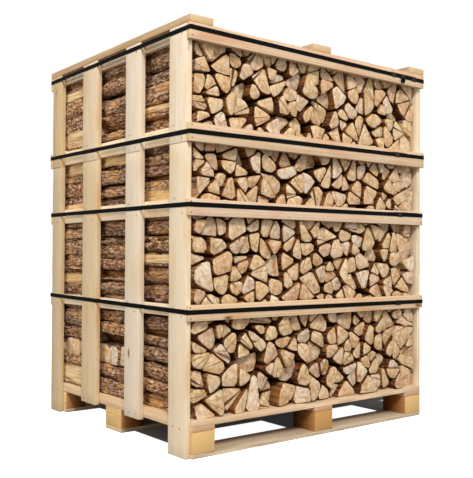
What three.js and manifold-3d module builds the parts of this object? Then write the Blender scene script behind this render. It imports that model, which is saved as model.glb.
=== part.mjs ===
// Pallet of firewood. A slatted crate in two storeys stands on a nine-block pallet, is filled with
// three rows of split logs and is bound with four straps. Millimetres, +Z up. The cut ends of the
// logs face -Y and +Y, the slatted sides face -X and +X, and the origin is on the floor under the
// middle of the pallet.
import * as THREE from 'three';
import { mergeVertices } from 'three/addons/utils/BufferGeometryUtils.js';
import Module from 'manifold-3d';

const wasm = await Module();
wasm.setup();

// Pallet, from the floor up: skids, blocks, stringers and deck boards
const PALLET_HALF_X = 580;
const PALLET_HALF_Y = 527;
const SKID_HEIGHT = 15;
const BLOCK = { x: 92, y: 120, z: 72 };
const MIDDLE_SHIFT = 19; // the middle blocks and their stringer are nailed a little to the right
const STRINGER_HEIGHT = 16;
const DECK_BOARD = { width: 120, innerWidth: 150, thickness: 20 };
const SILL_WIDTH = 45; // the raised outer lip of a side stringer, level with the deck

// Crate: planks stand against the pallet's ends, and rails tie them together
const PLANK_HALF_SPAN = 515; // middle of the pallet to the outer edge of a corner plank
const PLANK_REACH = [[-515, -411], [-220, -115], [110, 230], [433, 515]]; // along Y, front to back
const LOWER_PLANK_THICKNESS = 20;
const UPPER_PLANK_THICKNESS = 22;
const PLANK_OVERHANG = 7; // how far the middle planks reach below the stringers
const STOREY_SPLIT = 1042; // height where the upper planks stand on the lower ones
const CRATE_TOP = 1435;
const SIDE_RAIL_THICKNESS = 20;

// Rails from the lowest to the highest: bottom edge, height and thickness of those at the front
// and back, bottom edge and height of those at the sides, and the middle of the strap
const LEVELS = [
  { bottom: 450, height: 54, thickness: 14, side: { bottom: 459, height: 40 }, strap: 482 },
  { bottom: 798, height: 56, thickness: 14, side: { bottom: 801, height: 58 }, strap: 839 },
  { bottom: 1042, height: 62, thickness: 20, side: { bottom: 1051, height: 57 }, strap: 1083 },
  { bottom: 1380, height: 55, thickness: 20, side: { bottom: 1398, height: 34 }, strap: 1416 },
];
const TOP_PLANK = { width: 95, thickness: 25 };
const STRAP = { width: 15.5, thickness: 1 };
const FIT_GAP = 0.3; // clearance between pieces that only just touch

// Logs: three rows of one log length, front, middle and back
const LOG_LENGTH = 330;
const ROW_GAP = 4;
const ROW_PITCH = LOG_LENGTH + ROW_GAP;
const STACK_HALF_X = 558; // just inside the side rails
const STACK_SPLIT = 1072; // behind the rail at the foot of the upper storey
const STACK_TOP = 1415;
const LOG_GAP = 8; // open joint between neighbouring logs
const TRUNK_COLUMNS = 8;
const TRUNK_ROWS = { lower: 7, upper: 2 };
const SEEDS = { lower: 11, upper: 71 };
const TRUNK_SPREAD = 0.6; // how far a trunk strays from an even grid, as a share of the grid step
const ROW_STAGGER = 0.2; // how far every other grid row is moved along, in grid steps
const TRUNK_RADIUS = { small: 45, large: 85 };
const TRUNK_REACH = 420; // no trunk touches one whose middle is further away
const LOG_AREA = { small: 6400, large: 12800 }; // a log larger than this is split once more
const SPLIT_SWING = 1.1; // how far a split turns from square across, in radians
const SPLIT_SHIFT = 0.25; // how far a split misses the middle, as a share of the log's size
const END_STAGGER = 11; // how far a log's end stands in or out
const END_RECESS = 22; // depth of the dark joints between log ends
const BURIED = 1; // how far a short log end is sunk in the core that carries it
const FLANK_RECESS = 20; // depth of the joints between logs on a flank or on top
const CORNER_CUT = 18; // taken off the corners of logs that lie at a flank or on top
const MOST_OF_A_SIDE = 0.45; // no corner cut takes a larger share of the side it runs along
const SHORTEST_SIDE = 14; // shorter sides of a log's end are left out

const PALE_SPRUCE = { color: 0xe2cca6, roughness: 0.75 };
const PINK_SPRUCE = { color: 0xdcbb95, roughness: 0.75 };
const YELLOW_PINE = { color: 0xd7b275, roughness: 0.8 };
const SPLIT_WOOD = { color: 0xc79a66, roughness: 0.9 };
const BLACK_STRAP = { color: 0x17171a, roughness: 0.45 };

const DECK_UNDERSIDE = SKID_HEIGHT + BLOCK.z + STRINGER_HEIGHT;
const DECK_TOP = DECK_UNDERSIDE + DECK_BOARD.thickness;
const STRINGER_BOTTOM = SKID_HEIGHT + BLOCK.z;

// Which way each place lies from the middle
const SIDES = { left: -1, right: 1 };
const ENDS = { front: -1, back: 1 };
const DEPTHS = { front: -1, middle: 0, back: 1 };
const COLUMNS = { left: -1, centre: 0, right: 1 };

const pallet = new THREE.Group();
const crate = new THREE.Group();
const logs = new THREE.Group();

function add(group, name, geometry, finish) {
  const mesh = new THREE.Mesh(geometry, new THREE.MeshStandardMaterial(finish));
  mesh.name = name;
  group.add(mesh);
  return mesh;
}

// A sawn board between two opposite corners
function addBoard(group, name, low, high, finish) {
  const size = high.map((value, axis) => value - low[axis]);
  const mesh = add(group, name, new THREE.BoxGeometry(...size), finish);
  mesh.position.set(...high.map((value, axis) => (value + low[axis]) / 2));
}

function toSolid(geometry) {
  const bare = geometry.clone();
  bare.deleteAttribute('normal');
  bare.deleteAttribute('uv');
  const merged = mergeVertices(bare);
  return new wasm.Manifold(new wasm.Mesh({
    numProp: 3,
    vertProperties: new Float32Array(merged.attributes.position.array),
    triVerts: new Uint32Array(merged.index.array),
  }));
}

function toGeometry(solid) {
  const mesh = solid.getMesh();
  const geometry = new THREE.BufferGeometry();
  geometry.setAttribute('position', new THREE.BufferAttribute(mesh.vertProperties, 3));
  geometry.setIndex(new THREE.BufferAttribute(mesh.triVerts, 1));
  geometry.computeVertexNormals();
  return geometry;
}

function boxSolid(low, high) {
  const size = high.map((value, axis) => value - low[axis]);
  const middle = high.map((value, axis) => (value + low[axis]) / 2);
  return toSolid(new THREE.BoxGeometry(...size).translate(...middle));
}

// Low and high corner of a box given by a middle and a half size in X and Y, and its two heights
function around(x, y, halfX, halfY, bottom, top) {
  return [[x - halfX, y - halfY, bottom], [x + halfX, y + halfY, top]];
}

function buildSkidsAndBlocks() {
  const middleX = PALLET_HALF_X - BLOCK.x / 2;
  const middleY = PALLET_HALF_Y - BLOCK.y / 2;
  for (const [depth, signY] of Object.entries(DEPTHS)) {
    const y = signY * middleY;
    const skid = around(0, y, PALLET_HALF_X, BLOCK.y / 2, 0, SKID_HEIGHT);
    addBoard(pallet, `skid_${depth}`, ...skid, PALE_SPRUCE);
    for (const [place, signX] of Object.entries(COLUMNS)) {
      const x = signX ? signX * middleX : MIDDLE_SHIFT;
      const block = around(x, y, BLOCK.x / 2, BLOCK.y / 2, SKID_HEIGHT, STRINGER_BOTTOM);
      addBoard(pallet, `block_${depth}_${place}`, ...block, YELLOW_PINE);
    }
  }
}

// The side stringers carry a lip between the front and back deck boards, so that the deck is
// level with it. The middle stringer is a plain board.
function buildStringers() {
  const middleX = PALLET_HALF_X - BLOCK.x / 2;
  const half = BLOCK.x / 2;
  const middle = around(MIDDLE_SHIFT, 0, half, PALLET_HALF_Y, STRINGER_BOTTOM, DECK_UNDERSIDE);
  addBoard(pallet, 'stringer_middle', ...middle, PALE_SPRUCE);
  const lipHalf = PALLET_HALF_Y - DECK_BOARD.width - FIT_GAP;
  for (const [side, sign] of Object.entries(SIDES)) {
    const base = around(sign * middleX, 0, half, PALLET_HALF_Y, STRINGER_BOTTOM, DECK_UNDERSIDE);
    const lipX = sign * (PALLET_HALF_X - SILL_WIDTH / 2);
    const lip = around(lipX, 0, SILL_WIDTH / 2, lipHalf, STRINGER_BOTTOM, DECK_TOP);
    const stringer = boxSolid(...base).add(boxSolid(...lip));
    add(pallet, `stringer_${side}`, toGeometry(stringer), PALE_SPRUCE);
  }
}

// The inner deck boards lie where the ends of two rows of logs meet
function buildDeck() {
  const rowBoundary = ROW_PITCH / 2;
  const innerHalf = PALLET_HALF_X - SILL_WIDTH - FIT_GAP;
  const edgeY = PALLET_HALF_Y - DECK_BOARD.width / 2;
  for (const [depth, sign] of Object.entries(ENDS)) {
    const edge = around(0, sign * edgeY, PALLET_HALF_X, DECK_BOARD.width / 2,
      DECK_UNDERSIDE, DECK_TOP);
    addBoard(pallet, `deck_board_${depth}`, ...edge, PINK_SPRUCE);
    const inner = around(0, sign * rowBoundary, innerHalf, DECK_BOARD.innerWidth / 2,
      DECK_UNDERSIDE, DECK_TOP);
    addBoard(pallet, `deck_board_inner_${depth}`, ...inner, PALE_SPRUCE);
  }
}

// The corner planks reach the floor, and the others stop just below the stringers
function buildPlanks() {
  for (const [side, sign] of Object.entries(SIDES)) {
    PLANK_REACH.forEach(([near, far], index) => {
      const corner = index === 0 || index === PLANK_REACH.length - 1;
      const foot = corner ? 0 : STRINGER_BOTTOM - PLANK_OVERHANG;
      const lowerX = sign * (PALLET_HALF_X + LOWER_PLANK_THICKNESS / 2);
      const upperX = sign * (PALLET_HALF_X + UPPER_PLANK_THICKNESS / 2);
      const middleY = (near + far) / 2;
      const halfY = (far - near) / 2;
      const lower = around(lowerX, middleY, LOWER_PLANK_THICKNESS / 2, halfY, foot, STOREY_SPLIT);
      const upper = around(upperX, middleY, UPPER_PLANK_THICKNESS / 2, halfY,
        STOREY_SPLIT, CRATE_TOP);
      addBoard(crate, `lower_plank_${side}_${index + 1}`, ...lower, PALE_SPRUCE);
      addBoard(crate, `upper_plank_${side}_${index + 1}`, ...upper, PALE_SPRUCE);
    });
  }
}

function plankFace(level) {
  const upper = LEVELS[level].bottom >= STOREY_SPLIT;
  return PALLET_HALF_X + (upper ? UPPER_PLANK_THICKNESS : LOWER_PLANK_THICKNESS);
}

// Front and back rails lie across the edges of the corner planks. Side rails lie behind the
// planks, between them and the logs.
function buildRails() {
  LEVELS.forEach(({ bottom, height, thickness, side: behind }, level) => {
    const railY = PLANK_HALF_SPAN + thickness / 2;
    const number = level + 1;
    for (const [depth, sign] of Object.entries(ENDS)) {
      const rail = around(0, sign * railY, plankFace(level), thickness / 2,
        bottom, bottom + height);
      addBoard(crate, `${depth}_rail_${number}`, ...rail, PINK_SPRUCE);
    }
    for (const [side, sign] of Object.entries(SIDES)) {
      const x = sign * (PALLET_HALF_X - SIDE_RAIL_THICKNESS / 2);
      const rail = around(x, 0, SIDE_RAIL_THICKNESS / 2, PLANK_HALF_SPAN,
        behind.bottom, behind.bottom + behind.height);
      addBoard(crate, `${side}_rail_${number}`, ...rail, PALE_SPRUCE);
    }
  });
}

// Three flat planks close the top, from the front rail to the back rail
function buildTopPlanks() {
  const top = LEVELS.length - 1;
  const outerX = plankFace(top) - TOP_PLANK.width / 2;
  const halfY = PLANK_HALF_SPAN + LEVELS[top].thickness;
  for (const [place, sign] of Object.entries(COLUMNS)) {
    const plank = around(sign * outerX, 0, TOP_PLANK.width / 2, halfY,
      CRATE_TOP, CRATE_TOP + TOP_PLANK.thickness);
    addBoard(crate, `top_plank_${place}`, ...plank, PALE_SPRUCE);
  }
}

function loopCorners(halfX, halfY) {
  return [[-1, -1], [1, -1], [1, 1], [-1, 1]].map(([x, y]) => new THREE.Vector2(x * halfX, y * halfY));
}

// Each strap is a closed loop, pulled sharp round the corners. It lies on the planks at the sides
// and on the rails at the ends.
function buildStraps() {
  LEVELS.forEach(({ thickness, strap }, level) => {
    const insideX = plankFace(level) + FIT_GAP;
    const insideY = PLANK_HALF_SPAN + thickness + FIT_GAP;
    const loop = new THREE.Shape(loopCorners(insideX + STRAP.thickness, insideY + STRAP.thickness));
    loop.holes.push(new THREE.Path(loopCorners(insideX, insideY)));
    const band = new THREE.ExtrudeGeometry(loop, { depth: STRAP.width, bevelEnabled: false });
    const mesh = add(crate, `strap_${level + 1}`, band, BLACK_STRAP);
    mesh.position.z = strap - STRAP.width / 2;
  });
}

// A repeatable stream of numbers between 0 and 1
function randomFrom(seed) {
  let state = seed;
  const step = 0x6d2b79f5;
  return () => {
    state = (state + step) | 0;
    let mixed = Math.imul(state ^ (state >>> 15), 1 | state);
    mixed = (mixed + Math.imul(mixed ^ (mixed >>> 7), 61 | mixed)) ^ mixed;
    return ((mixed ^ (mixed >>> 14)) >>> 0) / 2 ** 32;
  };
}

// Middles and radii of round trunks, seen end on, on a grid that strays
function scatterTrunks(random, box, rows) {
  const stepX = (box.right - box.left) / TRUNK_COLUMNS;
  const stepZ = (box.top - box.bottom) / rows;
  const found = [];
  for (let row = 0; row < rows; row += 1) {
    const stagger = row % 2 ? ROW_STAGGER : -ROW_STAGGER;
    for (let column = 0; column < TRUNK_COLUMNS; column += 1) {
      const strayX = (random() - 0.5) * TRUNK_SPREAD;
      const strayZ = (random() - 0.5) * TRUNK_SPREAD;
      found.push({
        x: box.left + stepX * (column + 0.5 + stagger + strayX),
        z: box.bottom + stepZ * (row + 0.5 + strayZ),
        radius: THREE.MathUtils.lerp(TRUNK_RADIUS.small, TRUNK_RADIUS.large, random()),
      });
    }
  }
  return found;
}

// Keeps the part of a convex outline where the distance along a direction is below a limit
function trim(outline, alongX, alongZ, limit) {
  const kept = [];
  outline.forEach((point, index) => {
    const next = outline[(index + 1) % outline.length];
    const here = point.x * alongX + point.z * alongZ - limit;
    const there = next.x * alongX + next.z * alongZ - limit;
    if (here <= 0) kept.push(point);
    if (here * there < 0) {
      const share = here / (here - there);
      kept.push({
        x: point.x + (next.x - point.x) * share,
        z: point.z + (next.z - point.z) * share,
      });
    }
  });
  return kept;
}

// The ground that a trunk holds between its neighbours: larger trunks push smaller ones back
function trunkOutline(trunk, others, box) {
  let outline = [
    { x: box.left, z: box.bottom }, { x: box.right, z: box.bottom },
    { x: box.right, z: box.top }, { x: box.left, z: box.top },
  ];
  for (const other of others) {
    const x = other.x - trunk.x;
    const z = other.z - trunk.z;
    const distance = Math.hypot(x, z);
    if (distance === 0 || distance > TRUNK_REACH) continue;
    const share = (distance ** 2 + trunk.radius ** 2 - other.radius ** 2) / (2 * distance);
    const limit = (trunk.x * x + trunk.z * z) / distance + share - LOG_GAP / 2;
    outline = trim(outline, x / distance, z / distance, limit);
  }
  return outline;
}

// Area, middle and longest direction of an outline
function measure(outline) {
  let area = 0;
  let x = 0;
  let z = 0;
  let longest = 0;
  let heading = 0;
  outline.forEach((point, index) => {
    const next = outline[(index + 1) % outline.length];
    const cross = (point.x * next.z - next.x * point.z) / 2;
    area += cross;
    x += ((point.x + next.x) * cross) / 3;
    z += ((point.z + next.z) * cross) / 3;
    for (const far of outline) {
      const length = Math.hypot(far.x - point.x, far.z - point.z);
      if (length <= longest) continue;
      longest = length;
      heading = Math.atan2(far.z - point.z, far.x - point.x);
    }
  });
  return { area, x: x / area, z: z / area, heading };
}

// Splits a trunk across its longest direction, again and again, until every log is small enough
function splitTrunk(random, outline) {
  if (outline.length < 3) return [];
  const { area, x, z, heading } = measure(outline);
  const largest = THREE.MathUtils.lerp(LOG_AREA.small, LOG_AREA.large, random());
  if (area < largest) return [outline];
  const angle = heading + (random() - 0.5) * SPLIT_SWING;
  const alongX = Math.cos(angle);
  const alongZ = Math.sin(angle);
  const shift = (random() - 0.5) * SPLIT_SHIFT * Math.sqrt(area);
  const limit = x * alongX + z * alongZ + shift;
  return [
    ...splitTrunk(random, trim(outline, alongX, alongZ, limit - LOG_GAP / 2)),
    ...splitTrunk(random, trim(outline, -alongX, -alongZ, -limit - LOG_GAP / 2)),
  ];
}

function dropShortSides(outline) {
  return outline.filter((point, index) => {
    const next = outline[(index + 1) % outline.length];
    return Math.hypot(next.x - point.x, next.z - point.z) > SHORTEST_SIDE;
  });
}

// Takes the corners off where a log meets the open flank or top, so that it reads as a round back
function cutOpenCorners(outline, isOpen) {
  return outline.flatMap((point, index) => {
    if (!isOpen(point)) return [point];
    const before = outline[(index + outline.length - 1) % outline.length];
    const after = outline[(index + 1) % outline.length];
    return [before, after].map((neighbour) => {
      const length = Math.hypot(neighbour.x - point.x, neighbour.z - point.z);
      const share = Math.min(CORNER_CUT / length, MOST_OF_A_SIDE);
      return {
        x: point.x + (neighbour.x - point.x) * share,
        z: point.z + (neighbour.z - point.z) * share,
      };
    });
  });
}

function logSolid(outline, front, back) {
  const shape = new THREE.Shape(outline.map(({ x, z }) => new THREE.Vector2(x, z)));
  const prism = new THREE.ExtrudeGeometry(shape, { depth: back - front, bevelEnabled: false });
  return toSolid(prism.rotateX(Math.PI / 2).translate(0, back, 0));
}

// How far a log must reach, front and back, from the middle of its row. A buried log is cut short
// just inside the core, because only its cut end shows.
function logReach(facing, open, stagger, inset) {
  const y = facing * ROW_PITCH;
  const ends = { front: y - LOG_LENGTH / 2, back: y + LOG_LENGTH / 2 };
  if (facing < 0) ends.front += stagger;
  if (facing > 0) ends.back += stagger;
  if (!open && facing < 0) ends.back = -inset + BURIED;
  if (!open && facing > 0) ends.front = inset - BURIED;
  return ends;
}

// One stack: every log end stands out of the stack's face, and the logs at a flank or on top
// stand out of it over their whole length. Buried logs of the middle row are left to the core.
function buildStack(storey, bottom, top, openTop) {
  const box = { left: -STACK_HALF_X, right: STACK_HALF_X, bottom, top };
  const inset = ROW_PITCH + LOG_LENGTH / 2 - END_RECESS;
  const coreTop = openTop ? top - FLANK_RECESS : top;
  let stack = boxSolid(
    [FLANK_RECESS - STACK_HALF_X, -inset, bottom],
    [STACK_HALF_X - FLANK_RECESS, inset, coreTop],
  );
  const isOpen = (point) => Math.abs(Math.abs(point.x) - STACK_HALF_X) < FIT_GAP
    || (openTop && Math.abs(point.z - top) < FIT_GAP);
  Object.values(DEPTHS).forEach((facing, rowNumber) => {
    const random = randomFrom(SEEDS[storey] + rowNumber);
    const trunks = scatterTrunks(random, box, TRUNK_ROWS[storey]);
    const outlines = trunks.flatMap((trunk) => splitTrunk(random, trunkOutline(trunk, trunks, box)));
    for (const outline of outlines.map(dropShortSides)) {
      const stagger = (random() - 0.5) * 2 * END_STAGGER;
      const open = outline.some(isOpen);
      if (outline.length < 3 || (facing === 0 && !open)) continue;
      const { front, back } = logReach(facing, open, stagger, inset);
      stack = stack.add(logSolid(cutOpenCorners(outline, isOpen), front, back));
    }
  });
  add(logs, `logs_${storey}`, toGeometry(stack), SPLIT_WOOD);
}

buildSkidsAndBlocks();
buildStringers();
buildDeck();
buildPlanks();
buildRails();
buildTopPlanks();
buildStraps();
buildStack('lower', DECK_TOP + FIT_GAP, STACK_SPLIT, false);
buildStack('upper', STACK_SPLIT + FIT_GAP, STACK_TOP, true);

const firewoodPallet = new THREE.Group();
firewoodPallet.add(pallet, crate, logs);

export default firewoodPallet;
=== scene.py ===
# %% [markdown]
# # A pallet of firewood
#
# The real thing is a wooden pallet with a slatted crate nailed round it in two storeys. The crate
# is filled with three rows of split logs and bound with four black plastic straps. We rebuild it
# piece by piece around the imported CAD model, which stays our frame: every board, strap and stack
# of logs goes where its CAD node is. Lengths are in metres unless a name or a text says
# millimetres, which suit the logs and the straps better.

# %% The frame
import math

import bmesh
import bpy
import numpy as np
from mathutils import Matrix, Vector, noise


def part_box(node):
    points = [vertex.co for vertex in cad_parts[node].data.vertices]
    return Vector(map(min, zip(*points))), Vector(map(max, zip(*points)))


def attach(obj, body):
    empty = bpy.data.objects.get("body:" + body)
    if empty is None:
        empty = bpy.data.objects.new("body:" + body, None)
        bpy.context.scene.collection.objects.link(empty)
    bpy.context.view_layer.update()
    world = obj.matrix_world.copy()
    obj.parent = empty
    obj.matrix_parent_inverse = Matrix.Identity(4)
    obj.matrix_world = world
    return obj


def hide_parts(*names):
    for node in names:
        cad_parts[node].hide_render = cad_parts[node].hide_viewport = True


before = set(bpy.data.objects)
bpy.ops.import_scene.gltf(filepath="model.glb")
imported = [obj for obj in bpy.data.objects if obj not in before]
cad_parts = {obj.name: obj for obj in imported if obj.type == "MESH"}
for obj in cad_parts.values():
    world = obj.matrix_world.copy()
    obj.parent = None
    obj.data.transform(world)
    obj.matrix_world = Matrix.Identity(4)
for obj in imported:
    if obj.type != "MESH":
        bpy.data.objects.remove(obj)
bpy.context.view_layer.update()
print("CAD nodes:", len(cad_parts))

# %% [markdown]
# ## The camera
#
# The photographer stood about 3.2 m away, a little left of the corner, with the lens at two thirds
# of a metre above the floor. Straps, corners and pallet blocks in the photo were measured, and the
# place, the heading and the focal length below are the ones that bring them to the same pixels. A
# camera could also be turned by eye, but a measured one keeps every strap at its own height.

# %% Camera
PHOTO_HEIGHT_PIXELS = 478
FOCAL_PIXELS = 756.9
CAMERA_PLACE = (-1.9991, -2.5671, 0.6666)
HEADING, PITCH, ROLL = -0.6648, 0.022, 0.004

bpy.ops.object.camera_add()
camera = bpy.context.object
camera.data.sensor_width = 36
camera.data.lens = FOCAL_PIXELS * camera.data.sensor_width / PHOTO_HEIGHT_PIXELS
camera.matrix_world = (
    Matrix.Translation(CAMERA_PLACE)
    @ Matrix.Rotation(HEADING, 4, "Z")
    @ Matrix.Rotation(math.pi / 2 + PITCH, 4, "X")
    @ Matrix.Rotation(ROLL, 4, "Z")
)
bpy.context.scene.camera = camera
print("lens:", round(camera.data.lens, 1), "mm")

# %% [markdown]
# ## Small helpers for mesh work
#
# Operators act on whatever is selected, and loading the frame leaves its nodes selected. So each
# step first drops the selection, then picks its faces or edges by their place. The random numbers
# come from one small generator with a fixed seed, and Blender's own noise gets a seed too, because
# it would otherwise start from the clock. So each run gives the same pallet.

# %% Helpers for mesh work
WHOLE = 2**32 - 1
noise.seed_set(5)


def random_stream(seed):
    """A repeatable stream of numbers between 0 and 1, the same one that the part's source uses."""
    state = seed

    def draw():
        nonlocal state
        state = (state + 0x6D2B79F5) & WHOLE
        mixed = ((state ^ (state >> 15)) * (1 | state)) & WHOLE
        mixed = ((mixed + ((mixed ^ (mixed >> 7)) * (61 | mixed))) & WHOLE) ^ mixed
        return ((mixed ^ (mixed >> 14)) & WHOLE) / (WHOLE + 1)

    return draw


def between(draw, low, high):
    return low + (high - low) * draw()


def object_mode():
    if bpy.context.mode != "OBJECT":
        bpy.ops.object.mode_set(mode="OBJECT")
    bpy.ops.object.select_all(action="DESELECT")


def pick(piece):
    """Makes a piece the active one and the only one selected."""
    object_mode()
    bpy.context.view_layer.objects.active = piece
    piece.select_set(True)


def edit_mode(piece, kind="EDGE"):
    pick(piece)
    bpy.ops.object.mode_set(mode="EDIT")
    bpy.ops.mesh.select_mode(type=kind)
    bpy.ops.mesh.select_all(action="DESELECT")


def select_edges(piece, test):
    """Selects the edges that pass a test on their two ends."""
    work = bmesh.from_edit_mesh(piece.data)
    for edge in work.edges:
        edge.select_set(test(*(corner.co for corner in edge.verts)))
    work.select_flush_mode()
    bmesh.update_edit_mesh(piece.data)


def select_faces(piece, test):
    """Selects the faces that pass a test on their middle and normal."""
    work = bmesh.from_edit_mesh(piece.data)
    for face in work.faces:
        face.select_set(test(face.calc_center_median(), face.normal))
    work.select_flush_mode()
    bmesh.update_edit_mesh(piece.data)


def select_everything():
    bpy.ops.mesh.select_all(action="SELECT")


def turn_faces_outwards():
    select_everything()
    bpy.ops.mesh.normals_make_consistent(inside=False)


def join(parts, piece):
    """Joins parts to a piece, which keeps its name."""
    pick(piece)
    for part in parts:
        part.select_set(True)
    bpy.ops.object.join()


def smooth(piece, degrees):
    """Shades a piece smooth, but leaves edges sharp that turn by more than an angle."""
    pick(piece)
    bpy.ops.object.shade_smooth_by_angle(angle=math.radians(degrees))


def apply_place():
    bpy.ops.object.transform_apply(location=True, rotation=True, scale=True)


def points_of(piece):
    points = np.empty(len(piece.data.vertices) * 3)
    piece.data.vertices.foreach_get("co", points)
    return points.reshape(-1, 3)


def move_points(piece, points):
    piece.data.vertices.foreach_set("co", points.ravel())
    piece.data.update()


def keep_numbers(piece, name, values):
    """Stores one vector for each point, for a material to read."""
    kept = piece.data.attributes.new(name, "FLOAT_VECTOR", "POINT")
    kept.data.foreach_set("vector", np.asarray(values, np.float32).ravel())


def finish_piece(piece, slot, *nodes):
    object_mode()
    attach(piece, "root")
    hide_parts(*nodes)


print("noise at the origin:", noise.noise_vector((0, 0, 0)))

# %% [markdown]
# ## Helpers for materials
#
# Colours are written as the sRGB hex values that one reads off a paint card, and one function
# turns them to linear light. Each material gets one function that adds a node with its settings
# and links. The others build what comes back in most materials here: noise that is drawn out
# along the wood, colours laid over one another, and the relief. A material can be built node by
# node in the editor too, and in code the same steps stay readable.

# %% Helpers for materials
MULTIPLIED = {"data_type": "RGBA", "blend_type": "MULTIPLY"}


def linear(colour):
    """Linear RGBA from an sRGB hex value."""
    parts = [((colour >> shift) & 255) / 255 for shift in (16, 8, 0)]
    return [*(c / 12.92 if c <= 0.04045 else ((c + 0.055) / 1.055) ** 2.4 for c in parts), 1]


def set_inputs(node, inputs):
    """Gives inputs their plain values, their sRGB hex colours or links from other nodes."""
    for key, value in inputs.items():
        socket = node.inputs[key]
        if isinstance(value, bpy.types.NodeSocket):
            node.id_data.links.new(value, socket)
        elif socket.type == "RGBA" and isinstance(value, int):
            socket.default_value = linear(value)
        else:
            socket.default_value = value


def node_adder(tree):
    """The function that adds a node to a tree and returns one of its outputs."""

    def add(kind, inputs=None, output=None, stops=(), **settings):
        node = tree.nodes.new("ShaderNode" + kind)
        for name, value in settings.items():
            setattr(node, name, value)
        set_inputs(node, inputs or {})
        for _ in stops[2:]:
            node.color_ramp.elements.new(0.5)
        for index, (place, colour) in enumerate(stops):
            node.color_ramp.elements[index].position = place
            node.color_ramp.elements[index].color = linear(colour)
        if output is None:
            return next(socket for socket in node.outputs if socket.enabled)
        return node.outputs[output]

    return add


def new_material(name):
    """A material, the Principled shader that comes with it, and what adds nodes to it."""
    made = bpy.data.materials.new(name)
    made.use_nodes = True
    return made, made.node_tree.nodes["Principled BSDF"], node_adder(made.node_tree)


def noise_pattern(add, place, scale, detail=3.0, roughness=0.5):
    """Noise with one scale, or with one for each axis, which draws it out along an axis."""
    if isinstance(scale, tuple):
        place = add("VectorMath", {0: place, 1: scale}, operation="MULTIPLY")
        scale = 1.0
    inputs = {"Vector": place, "Scale": scale, "Detail": detail, "Roughness": roughness}
    return add("TexNoise", inputs)


def layered(add, colour, *layers):
    """Lays colours over a first one, by a share or where a value passes between two numbers."""
    for share, over, *span in layers:
        if span:
            share = add("MapRange", {"Value": share, "From Min": span[0], "From Max": span[1]})
        colour = add("Mix", {0: share, 6: colour, 7: over}, data_type="RGBA")
    return colour


def finish_surface(shader, add, colour, height, depth, strength, roughness, specular):
    """The colour, the relief with its depth in metres, and how a surface throws back light."""
    relief = add("Bump", {"Height": height, "Distance": depth, "Strength": strength})
    set_inputs(shader, {"Base Color": colour, "Normal": relief})
    set_inputs(shader, {"Roughness": roughness, "Specular IOR Level": specular})


print("white in linear light:", linear(0xFFFFFF))

# %% [markdown]
# ## Sawn spruce
#
# The crate is of rough-sawn spruce: pale and creamy, with growth rings that run along a board as
# soft stripes, a few small brown knots, and fine marks left across the board by the saw. We could
# paint the stripes on each face, but a plank is a slice of a trunk, so the pattern is made in
# three dimensions: rings are distances from the pith, a line along the board. Each board keeps
# its own coordinates in an attribute called grain, with the pith at a different place for each.
# Real rings are 2 to 4 mm apart, less than a pixel here, so they are drawn about 9 mm apart.

# %% Spruce material
RING_MM = 9
RING_CONTRAST = 0.75
KNOT_BROWN = 0x8A5A34
AGED_GREY = 0xDACDAF


def pith_distance(add, grain):
    """How far a point of a board lies from the pith of its trunk."""
    across = add("VectorMath", {0: grain, 1: (0, 1, 1)}, operation="MULTIPLY")
    return add("VectorMath", {0: across}, operation="LENGTH")


def ring_waves(add, radius, spacing_mm):
    """Waves from 0 to 1 and back for each growth ring."""
    turns = add("Math", {0: radius, 1: 1000 / spacing_mm * 2 * math.pi}, operation="MULTIPLY")
    wave = add("Math", {0: turns}, operation="SINE")
    return add("Math", {0: wave, 1: 0.5, 2: 0.5}, operation="MULTIPLY_ADD")


def scattered_knots(add, grain):
    """1 in a few small knots and 0 elsewhere: only some cells of a pattern have one."""
    places = add("VectorMath", {0: grain, 1: (4, 14, 11)}, operation="MULTIPLY")
    cells = add("TexVoronoi", {"Vector": places, "Scale": 1.0, "Randomness": 0.9}).node.outputs
    near = add("MapRange", {"Value": cells["Distance"], "From Min": 0.1, "From Max": 0.03})
    chance = add("SeparateColor", {0: cells["Color"]})
    rare = add("MapRange", {"Value": chance, "From Min": 0.5, "From Max": 0.6})
    return add("Math", {0: near, 1: rare}, operation="MULTIPLY")


def sawn_wood(name, pale, ring, blotch):
    made, shader, add = new_material(name)
    grain = add("Attribute", output="Vector", attribute_name="grain")
    tone = add("Attribute", output="Vector", attribute_name="tone")
    shade, warmth, age = add("SeparateXYZ", {0: tone}).node.outputs
    wander = noise_pattern(add, grain, (1.6, 14, 14), detail=2)
    wavy = {0: wander, 1: 0.03, 2: pith_distance(add, grain)}
    rings = ring_waves(add, add("Math", wavy, operation="MULTIPLY_ADD"), RING_MM)
    fibre = noise_pattern(add, grain, (6, 260, 260))
    patch = noise_pattern(add, grain, (5, 24, 24))
    flecks = noise_pattern(add, grain, (34, 120, 120), detail=2, roughness=0.6)
    late = add("Math", {0: rings, 1: fibre}, operation="MULTIPLY")
    late = add("Math", {0: late, 1: RING_CONTRAST}, operation="MULTIPLY")
    colour = layered(
        add,
        pale,
        (late, ring),
        (patch, blotch, 0.48, 0.72),
        (flecks, ring, 0.6, 0.85),
        (scattered_knots(add, grain), KNOT_BROWN),
    )
    colour = add("Mix", {0: age, 6: colour, 7: AGED_GREY}, **MULTIPLIED)
    level = add("MapRange", {"Value": shade, "To Min": 0.95, "To Max": 1.04})
    warm = add("MapRange", {"Value": warmth, "To Min": 0.88, "To Max": 1.12})
    colour = add("HueSaturation", {"Color": colour, "Value": level, "Saturation": warm})
    saw = noise_pattern(add, grain, (190, 9, 9), detail=1)
    relief = add("Math", {0: saw, 1: 0.5, 2: fibre}, operation="MULTIPLY_ADD")
    finish_surface(
        shader, add, colour, relief, depth=0.0008, strength=0.6, roughness=0.78, specular=0.2
    )
    return made


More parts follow.
